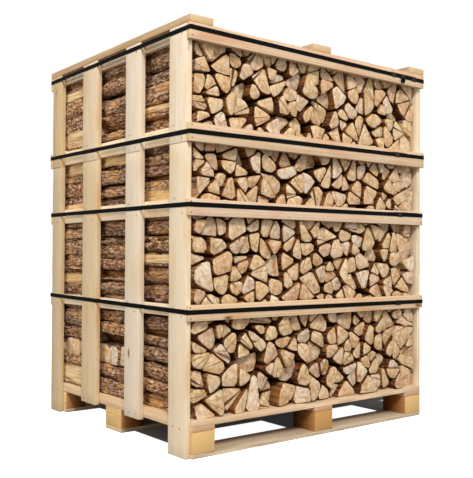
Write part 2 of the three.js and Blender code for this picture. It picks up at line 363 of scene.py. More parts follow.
plank_spruce = sawn_wood("rough_sawn_spruce", 0xEAD9C0, 0xD8BC94, 0xE2C9A2)
plank_edge = sawn_wood("spruce_edge", 0xF6E4C6, 0xE2BC90, 0xEAC79F)
top_spruce = sawn_wood("weathered_top_spruce", 0xC8A880, 0xA98459, 0xB89267)
rail_spruce = sawn_wood("pink_sawn_spruce", 0xE8CBA7, 0xCC9A70, 0xDDAA84)
pallet_spruce = sawn_wood("yellow_sawn_spruce", 0xE0C19A, 0xC3976A, 0xD2AD80)
skid_spruce = sawn_wood("dirty_skid_spruce", 0xCDB594, 0xA88E6C, 0xBAA07C)
block_pine = sawn_wood("sawn_block_pine", 0xE3BD82, 0xC4914F, 0xD2A25E)
print("woods:", len(bpy.data.materials))

# %% [markdown]
# The cut end of a board looks different from its faces. The saw opened the fibres like the ends
# of straws, so the end soaks up light and dirt: it is darker and more orange, and the rings show
# as arcs. It is a material of its own, which reads the same coordinates.

# %% End grain material
def cut_end(name, pale, dark):
    made, shader, add = new_material(name)
    grain = add("Attribute", output="Vector", attribute_name="grain")
    rings = ring_waves(add, pith_distance(add, grain), RING_MM)
    rough = noise_pattern(add, grain, 150, detail=4, roughness=0.7)
    share = add("Math", {0: rough, 1: 0.65}, operation="MULTIPLY")
    share = add("Math", {0: rings, 1: 0.35, 2: share}, operation="MULTIPLY_ADD")
    colour = layered(add, pale, (share, dark))
    finish_surface(
        shader, add, colour, rough, depth=0.001, strength=0.7, roughness=0.85, specular=0.2
    )
    return made


spruce_end = cut_end("spruce_end_grain", 0xE2C79C, 0xCBA773)
reddish_end = cut_end("reddish_end_grain", 0xDBB390, 0xBE9068)
pine_end = cut_end("pine_end_grain", 0xEBC88C, 0xD8A864)
brown_end = cut_end("brown_pine_end_grain", 0xDCAC6E, 0xB8803F)
print("woods and end grains:", len(bpy.data.materials))

# %% [markdown]
# The faces of a block that look under the pallet get a painted shade, darker the further a place
# is from the pallet's outline. So a third pine reads how far each point lies inside the outline
# and turns from orange brown to nearly black.

# %% Pine under the pallet
PALLET_OUTLINE = (0.58, 0.527)

shaded_block_pine, shader, add = new_material("painted_shade_pine_under_pallet")
place = add("TexCoord", output="Object")
around = add("VectorMath", {0: place}, operation="ABSOLUTE")
around = add("SeparateXYZ", {0: around}).node.outputs
from_side = add("Math", {0: PALLET_OUTLINE[0], 1: around[0]}, operation="SUBTRACT")
from_front = add("Math", {0: PALLET_OUTLINE[1], 1: around[1]}, operation="SUBTRACT")
inside = add("Math", {0: from_side, 1: from_front}, operation="MINIMUM")
grain = add("Attribute", output="Vector", attribute_name="grain")
fibre = noise_pattern(add, grain, (9, 160, 160))
depth = add("Math", {0: fibre, 1: 0.05, 2: inside}, operation="MULTIPLY_ADD")
# The painted shade deepens from 1 cm to 17 cm inside the outline
painted_shade = add("MapRange", {"Value": depth, "From Min": 0.01, "From Max": 0.17})
browns = [(0.0, 0xCC9258), (0.45, 0x93602F), (1.0, 0x281A10)]
colour = add("ValToRGB", {0: painted_shade}, stops=browns)
finish_surface(shader, add, colour, fibre, depth=0.0008, strength=0.6, roughness=0.9, specular=0.1)
print("nodes in", shaded_block_pine.name + ":", len(shaded_block_pine.node_tree.nodes))

# %% [markdown]
# ## Boards
#
# Every board of the crate and the pallet is a plank from the sawmill: a long box with its edges
# knocked off a little. Scaling a cube would do from afar. Here the cube is also cut across every
# few centimetres, its sharp edges are bevelled by a millimetre and a half, and then the points
# are moved inwards by a smooth noise: the edges get dents and the faces lose their perfect flat.
# The board never grows beyond its CAD node.

# %% Sawn boards
STATION = 0.045
SHARP_DEGREES = 50
AXES = (Vector((1, 0, 0)), Vector((0, 1, 0)), Vector((0, 0, 1)))


def long_axis(low, high):
    return max(range(3), key=lambda axis: high[axis] - low[axis])


def box_piece(name, low, high):
    """A cube primitive between two corners, with its place in its mesh."""
    object_mode()
    bpy.ops.mesh.primitive_cube_add(size=1)
    piece = bpy.context.object
    piece.name = name
    piece.data.name = name
    piece.scale = high - low
    piece.location = (low + high) / 2
    apply_place()
    return piece


def cut_at(axis, distance):
    """Cuts the piece in edit mode right through, square to an axis."""
    select_everything()
    bpy.ops.mesh.bisect(plane_co=AXES[axis] * distance, plane_no=AXES[axis])


def cut_across(piece, axis, low, high):
    """Cuts a piece every few centimetres along an axis."""
    edit_mode(piece, "FACE")
    cuts = max(2, round((high[axis] - low[axis]) / STATION))
    for cut in range(1, cuts):
        cut_at(axis, low[axis] + (high[axis] - low[axis]) * cut / cuts)


def bevel_sharp(piece, width, segments=2):
    edit_mode(piece)
    bpy.ops.mesh.edges_select_sharp(sharpness=math.radians(SHARP_DEGREES))
    bpy.ops.mesh.bevel(offset=width, segments=segments, affect="EDGES", clamp_overlap=True)
    object_mode()


print("boards are cut every", STATION, "m")

# %% [markdown]
# A sawn face is never flat. Noise pulls its points inwards, more at the edges, and where a board
# has a waney edge the wood is missing there. Then each point keeps its own grain coordinates, so
# that two boards never show the same rings, and each face gets the wood for its side.

# %% Wear and grain
WEAR_DEPTH = 0.0008
DENTS_PER_METRE = 22
HOLLOWS_PER_METRE = 4
EDGE_ZONE = 0.8
WANE_ZONE = 0.6
PITH_BESIDE = (0.03, 0.09)
BOARD_SMOOTH_DEGREES = 35


def wear(piece, axis, low, high, draw, wane=None):
    """Moves points inwards: a little all over, more at the edges, and most along a waney edge."""
    points = points_of(piece)
    middle = np.array((low + high) / 2)
    half = np.array((high - low) / 2)
    offset = Vector((between(draw, 0, 90), between(draw, 0, 90), between(draw, 0, 90)))
    others = [other for other in range(3) if other != axis]
    for point in points:
        here = Vector(point)
        side = (point - middle) / half
        edge = min(abs(side[other]) for other in others)
        dents = max(0.0, noise.noise(here * DENTS_PER_METRE + offset)) ** 2
        soft = noise.noise(here * HOLLOWS_PER_METRE + offset) * 0.5 + 0.5
        near = 1.0 if edge > EDGE_ZONE else 0.25
        pull = WEAR_DEPTH * (0.35 * soft + 2.2 * dents * near)
        for other in others:
            point[other] -= math.copysign(pull, side[other])
        if wane and all(side[a] * sign > WANE_ZONE for a, sign, _ in wane["edge"]):
            lost = max(0.0, noise.noise(here * wane["scale"] + offset) + wane["share"])
            for a, sign, share in wane["edge"]:
                point[a] -= sign * lost * share
    move_points(piece, points)


def keep_grain(piece, axis, draw, age):
    """Coordinates along the board and across it, with the pith of the trunk beside the board."""
    points = points_of(piece)
    others = [other for other in range(3) if other != axis]
    angle = between(draw, 0, 2 * math.pi)
    middle = (points.min(0) + points.max(0)) / 2
    across = [points[:, other] - middle[other] for other in others]
    distance = between(draw, *PITH_BESIDE)
    values = np.column_stack(
        [
            points[:, axis] + between(draw, 0, 50),
            across[0] + math.cos(angle) * distance,
            across[1] + math.sin(angle) * distance,
        ]
    )
    keep_numbers(piece, "grain", values)
    tone = [draw(), draw(), age + between(draw, 0, 0.1)]
    keep_numbers(piece, "tone", np.tile(tone, (len(points), 1)))


def is_end(face, axis):
    return abs(face.normal[axis]) > 0.8


def is_plank_edge(face, axis):
    edge = abs(face.normal.y) > 0.8 or face.normal.x * face.center.x < -0.1
    return edge and not is_end(face, axis)


def is_under_pallet(face, axis):
    out_x = face.normal.x * face.center.x > PALLET_OUTLINE[0] * 0.8
    out_y = face.normal.y * face.center.y > PALLET_OUTLINE[1] * 0.8
    return not (out_x or out_y)


def give_wood(piece, axis, woods, third=is_plank_edge):
    """A material for the broad faces, one for the ends and perhaps a third for chosen faces."""
    for wood in woods:
        piece.data.materials.append(wood)
    for face in piece.data.polygons:
        face.material_index = 1 if is_end(face, axis) else 0
        if len(woods) > 2 and third(face, axis):
            face.material_index = 2
    smooth(piece, BOARD_SMOOTH_DEGREES)


def dress_board(
    piece, node, axis, woods, slot, draw, bevel=0.0015, wane=None, age=0.0, third=is_plank_edge
):
    """Knocks off the edges, wears the faces and gives the wood its grain."""
    low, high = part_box(node)
    bevel_sharp(piece, bevel)
    wear(piece, axis, low, high, draw, wane)
    keep_grain(piece, axis, draw, age)
    give_wood(piece, axis, woods, third)
    finish_piece(piece, slot, node)


def sawn_board(node, woods, slot, seed, **looks):
    low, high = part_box(node)
    axis = long_axis(low, high)
    piece = box_piece(node + "_board", low, high)
    cut_across(piece, axis, low, high)
    dress_board(piece, node, axis, woods, slot, random_stream(seed), **looks)


print("wear is", WEAR_DEPTH * 1000, "mm deep at most places")

# %% [markdown]
# The crate's planks stand upright, and a rail crosses them at each strap. Boards that stood in
# the sun grew greyer, so each plank has an age: here it stands for the tone that the photo shows,
# from the palest one at the front corner to the darkest at the back. The planks' narrow edges get
# a warmer wood, because less light falls on them.

# %% Crate planks and rails
AGE_OF_PLANK = {"1": 0.0, "2": 0.1, "3": 0.45, "4": 0.75}
LOWER_AGE = 0.08

boards = 0
for number, node in enumerate(sorted(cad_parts)):
    lower = node.startswith("lower")
    if "plank" in node:
        age = AGE_OF_PLANK.get(node[-1], 0.2) + (LOWER_AGE if lower else 0)
        woods = (plank_spruce, spruce_end, plank_edge)
        woods = (top_spruce, spruce_end) if node.startswith("top") else woods
        sawn_board(node, woods, "crate_planks", 500 + number, age=age)
        boards += 1
    if "rail" in node:
        # Side rails behind the planks take the warmer edge wood as well: painted light, because
        # less light falls on them
        behind = node.startswith(("left", "right"))
        woods = (plank_edge if behind else rail_spruce, spruce_end)
        sawn_board(node, woods, "rail_boards", 500 + number, age=0.1 if behind else 0.0)
        boards += 1
print("boards in the crate:", boards)

# %% [markdown]
# The pallet is made of cheaper wood. Its boards are sawn from the outside of the trunk, so some
# keep a waney edge, where the board is rounded because the bark was there. The blocks are of
# pine, with their end grain to the front.

# %% Pallet boards and blocks
BROWN_BLOCK = "block_front_centre"
WANE = {
    "deck_board_front": {"edge": ((1, -1, 0.010), (2, 1, 0.012)), "scale": 9, "share": 0.1},
    "deck_board_back": {"edge": ((1, 1, 0.010), (2, 1, 0.012)), "scale": 9, "share": 0.1},
    "skid_front": {"edge": ((1, -1, 0.014), (2, 1, 0.008)), "scale": 6, "share": 0.15},
}

blocks = 0
for number, node in enumerate(sorted(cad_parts)):
    seed = 700 + number
    if node.startswith(("skid", "deck_board", "stringer_middle")):
        wood = skid_spruce if node.startswith("skid") else pallet_spruce
        end = reddish_end if node.startswith("stringer") else spruce_end
        sawn_board(node, (wood, end), "pallet_boards", seed, wane=WANE.get(node))
    if node.startswith("block"):
        end = brown_end if node == BROWN_BLOCK else pine_end
        # Faces that look under the pallet take the pine with a painted shade
        woods = (block_pine, end, shaded_block_pine)
        sawn_board(node, woods, "block_pine", seed, bevel=0.002, third=is_under_pallet)
        blocks += 1
print("blocks:", blocks)

# %% [markdown]
# The two side stringers aren't plain boards. Between the front and back deck boards they carry a
# raised lip, level with the deck, which the crate's planks are nailed to. We could lay a second
# board on the first, but the lip is sawn from the same wood. So the board is cut where the lip
# starts and ends, and the lip's faces are extruded upwards.

# %% Side stringers
LIP = {"height": 0.02, "width": 0.045, "half_length": 0.4067}

for number, (node, sign) in enumerate((("stringer_left", -1), ("stringer_right", 1))):
    low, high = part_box(node)
    piece = box_piece(node + "_board", low, high - Vector((0, 0, LIP["height"])))
    cut_across(piece, 1, low, high)
    lip_x = sign * (max(abs(low.x), abs(high.x)) - LIP["width"])
    for cut_axis, distance in ((0, lip_x), (1, LIP["half_length"]), (1, -LIP["half_length"])):
        cut_at(cut_axis, distance)

    def under_lip(middle, normal):
        outside = middle.x * sign > lip_x * sign
        return normal.z > 0.9 and outside and abs(middle.y) < LIP["half_length"]

    select_faces(piece, under_lip)
    bpy.ops.mesh.extrude_region_move(TRANSFORM_OT_translate={"value": (0, 0, LIP["height"])})
    woods = (pallet_spruce, reddish_end)
    dress_board(piece, node, 1, woods, "pallet_boards", random_stream(760 + number))
    print(node, len(piece.data.polygons), "faces")

# %% [markdown]
# ## Split logs: who lies where
#
# Firewood is cut to one length, split with a wedge and stacked, so each log end is a slice of a
# round trunk: a half, a quarter or a thin piece. We could drop some hundred bodies in a physics
# simulation and wait, and they would settle differently each time we change one. Instead the
# stack's front is shared out on paper. Round trunks are strewn over it, each holds the ground
# nearer to it than to its neighbours, and each is then split again and again until its pieces are
# small enough. It starts with the same numbers as the CAD, so its logs lie where the CAD's logs
# are, and then goes one step finer, to logs 50 to 100 mm thick. This part works in millimetres.

# %% Trunks
STACK_HALF_X = 558
STOREYS = {
    "lower": {"bottom": 123.3, "top": 1072, "trunk_rows": 7, "seed": 11},
    "upper": {"bottom": 1072.3, "top": 1415, "trunk_rows": 2, "seed": 71},
}
DEPTHS = {"front": -1, "middle": 0, "back": 1}
LOG_LENGTH = 330
ROW_PITCH = 334
TRUNK_COLUMNS = 8
TRUNK_SPREAD = 0.6
ROW_STAGGER = 0.2
TRUNK_RADIUS = (45, 85)
TRUNK_REACH = 420
# The first splits are the CAD's own, and the fine ones are this scene's
CAD_SPLIT = {"areas": (6400, 12800), "swing": 1.1, "gap": 8}
FINE_SPLIT = {"areas": (2900, 6400), "swing": 0.55, "gap": 4}


def scatter_trunks(draw, storey):
    """Middles and radii of round trunks, seen end on, on a grid that strays."""
    step_x = 2 * STACK_HALF_X / TRUNK_COLUMNS
    step_z = (storey["top"] - storey["bottom"]) / storey["trunk_rows"]
    trunks = []
    for row in range(storey["trunk_rows"]):
        stagger = ROW_STAGGER if row % 2 else -ROW_STAGGER
        for column in range(TRUNK_COLUMNS):
            stray_x = (draw() - 0.5) * TRUNK_SPREAD
            stray_z = (draw() - 0.5) * TRUNK_SPREAD
            x = -STACK_HALF_X + step_x * (column + 0.5 + stagger + stray_x)
            z = storey["bottom"] + step_z * (row + 0.5 + stray_z)
            trunks.append((x, z, between(draw, *TRUNK_RADIUS)))
    return trunks


def trim(outline, along, limit):
    """Keeps the part of a convex outline where the distance along a direction is below a limit."""
    kept = []
    for index, point in enumerate(outline):
        after = outline[(index + 1) % len(outline)]
        here = point.dot(along) - limit
        there = after.dot(along) - limit
        if here <= 0:
            kept.append(point)
        if here * there < 0:
            kept.append(point.lerp(after, here / (here - there)))
    return kept


def cut_in_two(outline, along, limit, gap):
    """The two parts of an outline on both sides of a saw cut or split."""
    return trim(outline, along, limit - gap / 2), trim(outline, -along, -limit - gap / 2)


def trunk_outline(trunk, trunks, storey):
    """The ground that a trunk holds: larger trunks push smaller ones back."""
    low, high = storey["bottom"], storey["top"]
    corners = ((-1, low), (1, low), (1, high), (-1, high))
    outline = [Vector((sign * STACK_HALF_X, z)) for sign, z in corners]
    here = Vector(trunk[:2])
    for other in trunks:
        apart = Vector(other[:2]) - here
        distance = apart.length
        if not 0 < distance <= TRUNK_REACH:
            continue
        share = (distance**2 + trunk[2] ** 2 - other[2] ** 2) / (2 * distance)
        along = apart / distance
        outline = trim(outline, along, here.dot(along) + share - CAD_SPLIT["gap"] / 2)
    return outline


print("trunks in the upper storey:", len(scatter_trunks(random_stream(1), STOREYS["upper"])))

# %% [markdown]
# A trunk is split with a wedge across its longest direction, and the halves are split again. Logs
# that show lengthwise at a side or on top would look too thick from there, so they are split once
# more. Corners that lie close together are dropped, since no wedge leaves them.

# %% Splits
THICKEST_SHOWN = 84
USUAL_SHOWN = 66
SMALLEST_LOG = 900
CLOSE_CORNERS = 12


def measure(outline):
    """Area, middle and longest direction of an outline."""
    area, middle, longest, heading = 0, Vector((0, 0)), 0, 0
    for index, point in enumerate(outline):
        after = outline[(index + 1) % len(outline)]
        part = (point.x * after.y - after.x * point.y) / 2
        area += part
        middle += (point + after) * part / 3
        for far in outline:
            reach = (far - point).length
            if reach > longest:
                longest = reach
                heading = math.atan2(far.y - point.y, far.x - point.x)
    return area, middle / area, heading


def split(draw, outline, way):
    """Splits a trunk across its longest direction until every log is small enough."""
    if len(outline) < 3:
        return []
    area, middle, heading = measure(outline)
    if area < between(draw, *way["areas"]):
        return [outline]
    angle = heading + (draw() - 0.5) * way["swing"]
    along = Vector((math.cos(angle), math.sin(angle)))
    limit = middle.dot(along) + (draw() - 0.5) * 0.25 * math.sqrt(area)
    halves = cut_in_two(outline, along, limit, way["gap"])
    return [log for half in halves for log in split(draw, half, way)]


def outside_edge(ground, storey):
    """The edge that lies at a side window or on the open top, or None."""
    for index, point in enumerate(ground):
        after = ground[(index + 1) % len(ground)]
        side = min(abs(point.x), abs(after.x)) > STACK_HALF_X - 1
        open_top = storey is STOREYS["upper"]
        if side or (open_top and min(point.y, after.y) > storey["top"] - 1):
            return index
    return None


def thin_outside(draw, ground, storey):
    """Splits ground again where its log would look too thick from the side or from above."""
    edge = outside_edge(ground, storey)
    if edge is None:
        return [ground]
    first, last = ground[edge], ground[(edge + 1) % len(ground)]
    length = (last - first).length
    if length < THICKEST_SHOWN:
        return [ground]
    along = Matrix.Rotation(between(draw, -0.15, 0.15), 2) @ ((last - first) / length)
    parts = max(2, round(length / USUAL_SHOWN))
    share = parts // 2 / parts + between(draw, -0.05, 0.05)
    halves = cut_in_two(ground, along, first.lerp(last, share).dot(along), FINE_SPLIT["gap"])
    return [part for half in halves for part in thin_outside(draw, half, storey)]


def without_close_corners(ground, storey):
    """Drops corners that lie close to the one before, but leaves the outside edge as it is."""
    outside = outside_edge(ground, storey)
    fixed = () if outside is None else (outside, (outside + 1) % len(ground))
    kept = []
    for index, point in enumerate(ground):
        after = (index + 1) % len(ground)
        near_before = (ground[index - 1] - point).length < CLOSE_CORNERS
        near_fixed = after in fixed and (ground[after] - point).length < CLOSE_CORNERS
        if index in fixed or not (near_before or near_fixed):
            kept.append(point)
    return kept if len(kept) > 2 else ground


def grounds(storey, row_number):
    """The ground of every log of one row."""
    draw = random_stream(storey["seed"] + row_number)
    trunks = scatter_trunks(draw, storey)
    coarse = []
    for trunk in trunks:
        coarse += split(draw, trunk_outline(trunk, trunks, storey), CAD_SPLIT)
    fine_draw = random_stream(storey["seed"] + 400 + row_number)
    fine = [piece for ground in coarse for piece in split(fine_draw, ground, FINE_SPLIT)]
    fine = [piece for ground in fine for piece in thin_outside(fine_draw, ground, storey)]
    large = [ground for ground in fine if measure(ground)[0] > SMALLEST_LOG]
    return [without_close_corners(ground, storey) for ground in large]


print("logs in the upper front row:", len(grounds(STOREYS["upper"], 0)))

# %% [markdown]
# ## Split logs: from a piece of ground to a log's end
#
# A split log has flat faces where the wedge went through and a round back where the bark was. So
# the sharpest corner of the ground becomes the heart of the trunk, and the two edges at it stay
# nearly straight. The rest becomes the back: its corners are cut, its edges swell and its far
# points are drawn in towards the heart. Ground with no sharp corner becomes a half round or a
# whole round. At last the outline is cut off a little beyond the edges of its ground, so that
# neighbours touch but hardly grow into each other. The dark corners left between logs are there in
# a real stack too.

# %% Rounding
BARK_CORNER_DEGREES = 140
FACE_WAVES = (-0.4, 3.8)
CLOSE_POINTS = 1.6
SOFT_CORNER = 7
THIN_LOG = 40


def swell(points, draw, bulge, closed=False):
    """Cuts the corners of a chain of points and moves the middle of each edge outwards."""
    around = [*points, points[0]] if closed else points
    made = []
    for here, after in zip(around, around[1:]):
        outwards = Vector((after.y - here.y, here.x - after.x))
        middle = here.lerp(after, between(draw, 0.4, 0.6)) + outwards * between(draw, *bulge)
        made += [here.lerp(after, 0.25), middle, here.lerp(after, 0.75)]
    return made if closed else [points[0], *made, points[-1]]


def cut_corners(points, closed=False):
    """Replaces each corner by two points, a quarter of the way along its edges."""
    made = [] if closed else [points[0]]
    for index in range(len(points) if closed else len(points) - 1):
        here, after = points[index], points[(index + 1) % len(points)]
        made += [here.lerp(after, 0.25), here.lerp(after, 0.75)]
    return made if closed else made + [points[-1]]


def draw_in(points, middle, share):
    """Draws the points furthest from a middle in towards it, so that the outline runs round."""
    reach = share * max((point - middle).length for point in points)
    drawn = []
    for point in points:
        away = (point - middle).length
        keep = 1 - 0.8 * (away - reach) / away if away > reach else 1
        drawn.append(middle.lerp(point, keep))
    return drawn


def soften(marked, face_corner):
    """Takes the point off each corner of the bark, and off the sharpest ones of a split face."""
    made = []
    for index, point in enumerate(marked):
        ends = (marked[index - 1], marked[(index + 1) % len(marked)])
        angle = (ends[0] - point).to_2d().angle((ends[1] - point).to_2d(), math.pi)
        if angle < math.radians(BARK_CORNER_DEGREES if point.z > 0.5 else face_corner):
            made += [point.lerp(end, min(0.4, SOFT_CORNER / (end - point).length)) for end in ends]
        else:
            made.append(point)
    return made


def keep_apart(outline, bark, ground, way):
    """Cuts an outline off a little beyond the edges of its ground. The bark numbers go with it."""
    marked = [Vector((*point, mark)) for point, mark in zip(outline, bark)]
    for index, here in enumerate(ground):
        edge = ground[(index + 1) % len(ground)] - here
        outwards = Vector((edge.y, -edge.x, 0)).normalized()
        marked = trim(marked, outwards, here.to_3d().dot(outwards) + way["beyond"])
    marked = soften(marked, way["face_corner"])
    gaps = [(point - marked[index - 1]).to_2d().length for index, point in enumerate(marked)]
    marked = [point for point, gap in zip(marked, gaps) if gap > CLOSE_POINTS]
    return [point.to_2d() for point in marked], [point.z for point in marked]


def wavy_edge(first, last, draw):
    """Points along a split face, between its two ends: it swells a little more than it sinks."""
    outwards = Vector((last.y - first.y, first.x - last.x)).normalized()
    places = [first.lerp(last, share) for share in (0.3, 0.7)]
    return [place + outwards * between(draw, *FACE_WAVES) for place in places]


def round_outside(ground, outside, draw, deepest, shoulders):
    """Rounds ground off towards the open side and draws it in, so that no two logs are level."""
    count = len(ground)
    first, last = ground[outside], ground[(outside + 1) % count]
    before, after = ground[outside - 1], ground[(outside + 2) % count]
    edge = last - first
    inwards = Vector((-edge.y, edge.x)).normalized()
    reach = max((point - first).dot(inwards) for point in ground)
    thin = edge.length < THIN_LOG
    depth = between(draw, 0.5, 1) * 20 if thin else between(draw, 0, deepest)
    depth = min(depth, 0.2 * reach, 2 * deepest)
    shoulder = between(draw, *shoulders) * edge.length
    low = first + (before - first) * min(0.6, shoulder / (before - first).length)
    high = last + (after - last) * min(0.6, shoulder / (after - last).length)
    crown = [first.lerp(last, share) + inwards * depth for share in (0.26, 0.74)]
    rest = [ground[(outside + 2 + step) % count] for step in range(count - 2)]
    rounded = [low, *crown, high, *rest]
    return rounded if measure(rounded)[0] > measure(ground)[0] / 2 else ground


print("corners of the bark are softened below", BARK_CORNER_DEGREES, "degrees")

# %% [markdown]
# Now one log can be shaped. Chance decides whether it is a whole round, a half round or a wedge,
# and whether a log at the outside turns its bark or a split face outwards. Bark reaches a little
# way round the edges of a split face.

# %% The shape of a log
WHOLE_ROUNDS = 0.28
ROUND_WITHOUT_HEART = 0.6
BARK_OUTSIDE = 0.66
HEART_DEGREES = 105
BULGE = (0.03, 0.1)
BARK_ROUND_THE_EDGE = (0.08, 0.28)
ROUND_DRAWN_IN = (0.82, 0.94)
BACK_DRAWN_IN = (0.83, 0.95)


def heart_corner(ground, inwards):
    """The corner where the heart of the trunk was, or None for a round or half round log."""
    count = len(ground)
    if inwards is not None:
        return max(range(count), key=lambda index: ground[index].dot(inwards))

    def angle(index):
        before = ground[index - 1] - ground[index]
        after = ground[(index + 1) % count] - ground[index]
        return before.angle(after, 0)

    sharpest = min(range(count), key=angle)
    return sharpest if angle(sharpest) < math.radians(HEART_DEGREES) else None


def blunted(start, tip, end, width):
    """Two points near the tip that take its sharp point off."""
    angle = max((start - tip).angle(end - tip, 1), 0.3)
    away = width / 2 / math.sin(angle / 2)
    return [tip.lerp(far, min(0.35, away / (far - tip).length)) for far in (end, start)]


def shape_log(ground, draw, outside, way):
    """Outline, bark (1 on the round back, 0 on split faces) and heart of one log."""
    inwards = None
    bark_out = outside is None or draw() < BARK_OUTSIDE
    if outside is not None:
        edge = ground[(outside + 1) % len(ground)] - ground[outside]
        inwards = Vector((-edge.y, edge.x)).normalized()
        if bark_out:
            ground = round_outside(ground, outside, draw, way["deepest"], way["shoulders"])
    count = len(ground)
    heart = heart_corner(ground, inwards) if bark_out else None
    if outside is None and draw() < WHOLE_ROUNDS:
        heart = None
    bulge = BULGE if outside is None else (0, BULGE[1] / 2)
    if bark_out and heart is None and draw() < ROUND_WITHOUT_HEART:
        middle = measure(ground)[1]
        outline = swell(ground, draw, bulge, closed=True)
        if outside is None:
            outline = draw_in(outline, middle, between(draw, *ROUND_DRAWN_IN))
        else:
            outline = cut_corners(outline, closed=True)
        return outline, [1] * len(outline), middle
    if heart is None:
        edges = range(count)
        longest = max(edges, key=lambda i: (ground[(i + 1) % count] - ground[i]).length)
        flat = longest if outside is None else outside
        chain = [ground[(flat + 1 + step) % count] for step in range(count)]
        tip = chain[0].lerp(chain[-1], between(draw, 0.4, 0.6))
    else:
        chain = [ground[(heart + 1 + step) % count] for step in range(count - 1)]
        tip = ground[heart]
    start = chain[0].lerp(tip, between(draw, *BARK_ROUND_THE_EDGE))
    end = chain[-1].lerp(tip, between(draw, *BARK_ROUND_THE_EDGE))
    back = swell([start, *chain, end], draw, bulge)
    if outside is None:
        back = draw_in(back, tip, between(draw, *BACK_DRAWN_IN))
    else:
        back = cut_corners(back)
    blunt = [tip, tip] if heart is None else blunted(start, tip, end, way["heart"])
    first_face = wavy_edge(end, blunt[0], draw)
    second_face = wavy_edge(blunt[1], start, draw)
    point = [tip] if heart is None else blunt
    faces = [end.lerp(tip, 0.06), *first_face, *point, *second_face, start.lerp(tip, 0.06)]
    return back + faces, [1] * len(back) + [0] * len(faces), tip


def settle(outline, ground, draw, sizes):
    """Sizes a log and turns it a little, from its lowest corner, where it rests on the others."""
    area = measure(ground)[0]
    low = min(ground, key=lambda point: point.y)
    size = (1 + 4 / math.sqrt(area)) * between(draw, *sizes)
    turn = Matrix.Rotation(between(draw, -0.05, 0.05), 2)
    middle = low.lerp(measure(ground)[1], 0.35)
    return [middle + turn @ (point - middle) * size for point in outline]


print("whole rounds:", WHOLE_ROUNDS, "of the logs at most")

# %% [markdown]
# ## Split logs: from ends to solid wood
#
# All the ends of a row are drawn as flat faces, because no primitive has their shapes, and then
# the whole row is made at once with the same operators that one log would need: extrude to the
# log's length, bisect where the bark should swell, inset the cut ends for a thin chamfer. Then
# the points move: each log stands out or in by its own amount, its saw cut leans, and the logs
# that show lengthwise get bends, ridges and dents. A log buried in the stack needs none of that,
# and has no cuts along its length, which keeps some twelve hundred logs light.

# %% Rows of logs
SHOWN_STATIONS = 15
CHAMFER = {"thickness": 0.0018, "depth": 0.0012}


def draw_ends(name, logs, y):
    """The cut ends of all logs as flat faces, each point with its log's number and its bark."""
    points, faces, numbers, bark = [], [], [], []
    for number, log in enumerate(logs):
        first = len(points)
        points += [(point.x / 1000, y, point.y / 1000) for point in log["outline"]]
        faces.append(range(first, len(points)))
        numbers += [number] * len(log["outline"])
        bark += log["bark"]
    mesh = bpy.data.meshes.new(name)
    mesh.from_pydata(points, [], faces)
    for attribute_name, values in (("log", numbers), ("bark", bark)):
        kept = mesh.attributes.new(attribute_name, "FLOAT", "POINT")
        kept.data.foreach_set("value", np.array(values, np.float32))
    piece = bpy.data.objects.new(name, mesh)
    bpy.context.collection.objects.link(piece)
    return piece


def kept_values(piece, name):
    values = np.empty(len(piece.data.vertices), np.float32)
    piece.data.attributes[name].data.foreach_get("value", values)
    return values


def saw_and_split(piece, y, stations):
    """Extrudes the drawn ends to the log length and cuts them across."""
    edit_mode(piece, "FACE")
    length = LOG_LENGTH / 1000
    select_everything()
    bpy.ops.mesh.extrude_region_move(TRANSFORM_OT_translate={"value": (0, length, 0)})
    for station in range(1, stations):
        cut_at(1, y + length * station / stations)
    turn_faces_outwards()
    select_faces(piece, lambda middle, normal: abs(normal.y) > 0.9)
    bpy.ops.mesh.inset(**CHAMFER, use_individual=True)
    object_mode()


print("a log is", LOG_LENGTH, "mm long and a row", ROW_PITCH, "mm deep")

# %% [markdown]
# A tree is never straight, so the logs that show lengthwise get a bend, ridges and knobs, stronger
# where there is bark. The ends lie a few millimetres further in or out, one in eleven deep in the
# shade, and the saw cut leans. Each point keeps its log's own coordinates and its three shades.

# %% Bends, ends and shades
LOG_BEND = 0.005
RIDGE = {"split": 0.0012, "bark": 0.004}
DEEP_ENDS = 0.09
DEEP = (0.014, 0.038)
STRAY = (-0.009, 0.007)
SAW_LEAN = (-0.08, 0.08)
LOG_SMOOTH_DEGREES = 40


def roughen(piece, logs, y):
    """Moves the ends in and out, and gives logs that show lengthwise their bends and ridges."""
    piece.data.update()
    points = points_of(piece)
    numbers = np.rint(kept_values(piece, "log")).astype(int)
    bark = kept_values(piece, "bark")
    normals = np.array([vertex.normal for vertex in piece.data.vertices])
    along = (points[:, 1] - y) / (LOG_LENGTH / 1000)
    for index, point in enumerate(points):
        log = logs[numbers[index]]
        seed = Vector((numbers[index] * 3.7, 0, 0))
        here = Vector(point)
        if log["shown"]:
            bend = noise.noise_vector(seed + Vector((0, point[1] * 5, 0))) * LOG_BEND
            ridge = noise.noise(Vector((point[0] * 55, point[1] * 22, point[2] * 55)) + seed)
            knobs = noise.noise(here * 24 + seed)
            strength = RIDGE["split"] + RIDGE["bark"] * bark[index]
            push = normals[index] * (ridge * strength + knobs * strength * 1.2)
            push[1] = 0
            point += push
            point[0] += bend.x
            point[2] += bend.z
        front, back = log["ends"]
        lean = (point[0] - log["middle"][0]) * log["lean"][0]
        lean += (point[2] - log["middle"][1]) * log["lean"][1]
        share = along[index]
        point[1] += (1 - share) * (front + lean) + share * (back + lean)
    move_points(piece, points)
    return numbers


def number_logs(piece, logs, numbers):
    """Keeps each log's own coordinates, with the heart at zero, and its own three shades."""
    points = points_of(piece)
    hearts = np.array([log["heart"] for log in logs])[numbers]
    shifts = np.array([log["shift"] for log in logs])[numbers]
    grain = np.column_stack(
        [points[:, 0] - hearts[:, 0], points[:, 1] + shifts, points[:, 2] - hearts[:, 1]]
    )
    keep_numbers(piece, "grain", grain)
    keep_numbers(piece, "tone", np.array([log["tone"] for log in logs])[numbers])
    shown = np.array([float(log["shown"]) for log in logs])[numbers]
    keep_numbers(piece, "shown", np.repeat(shown, 3))


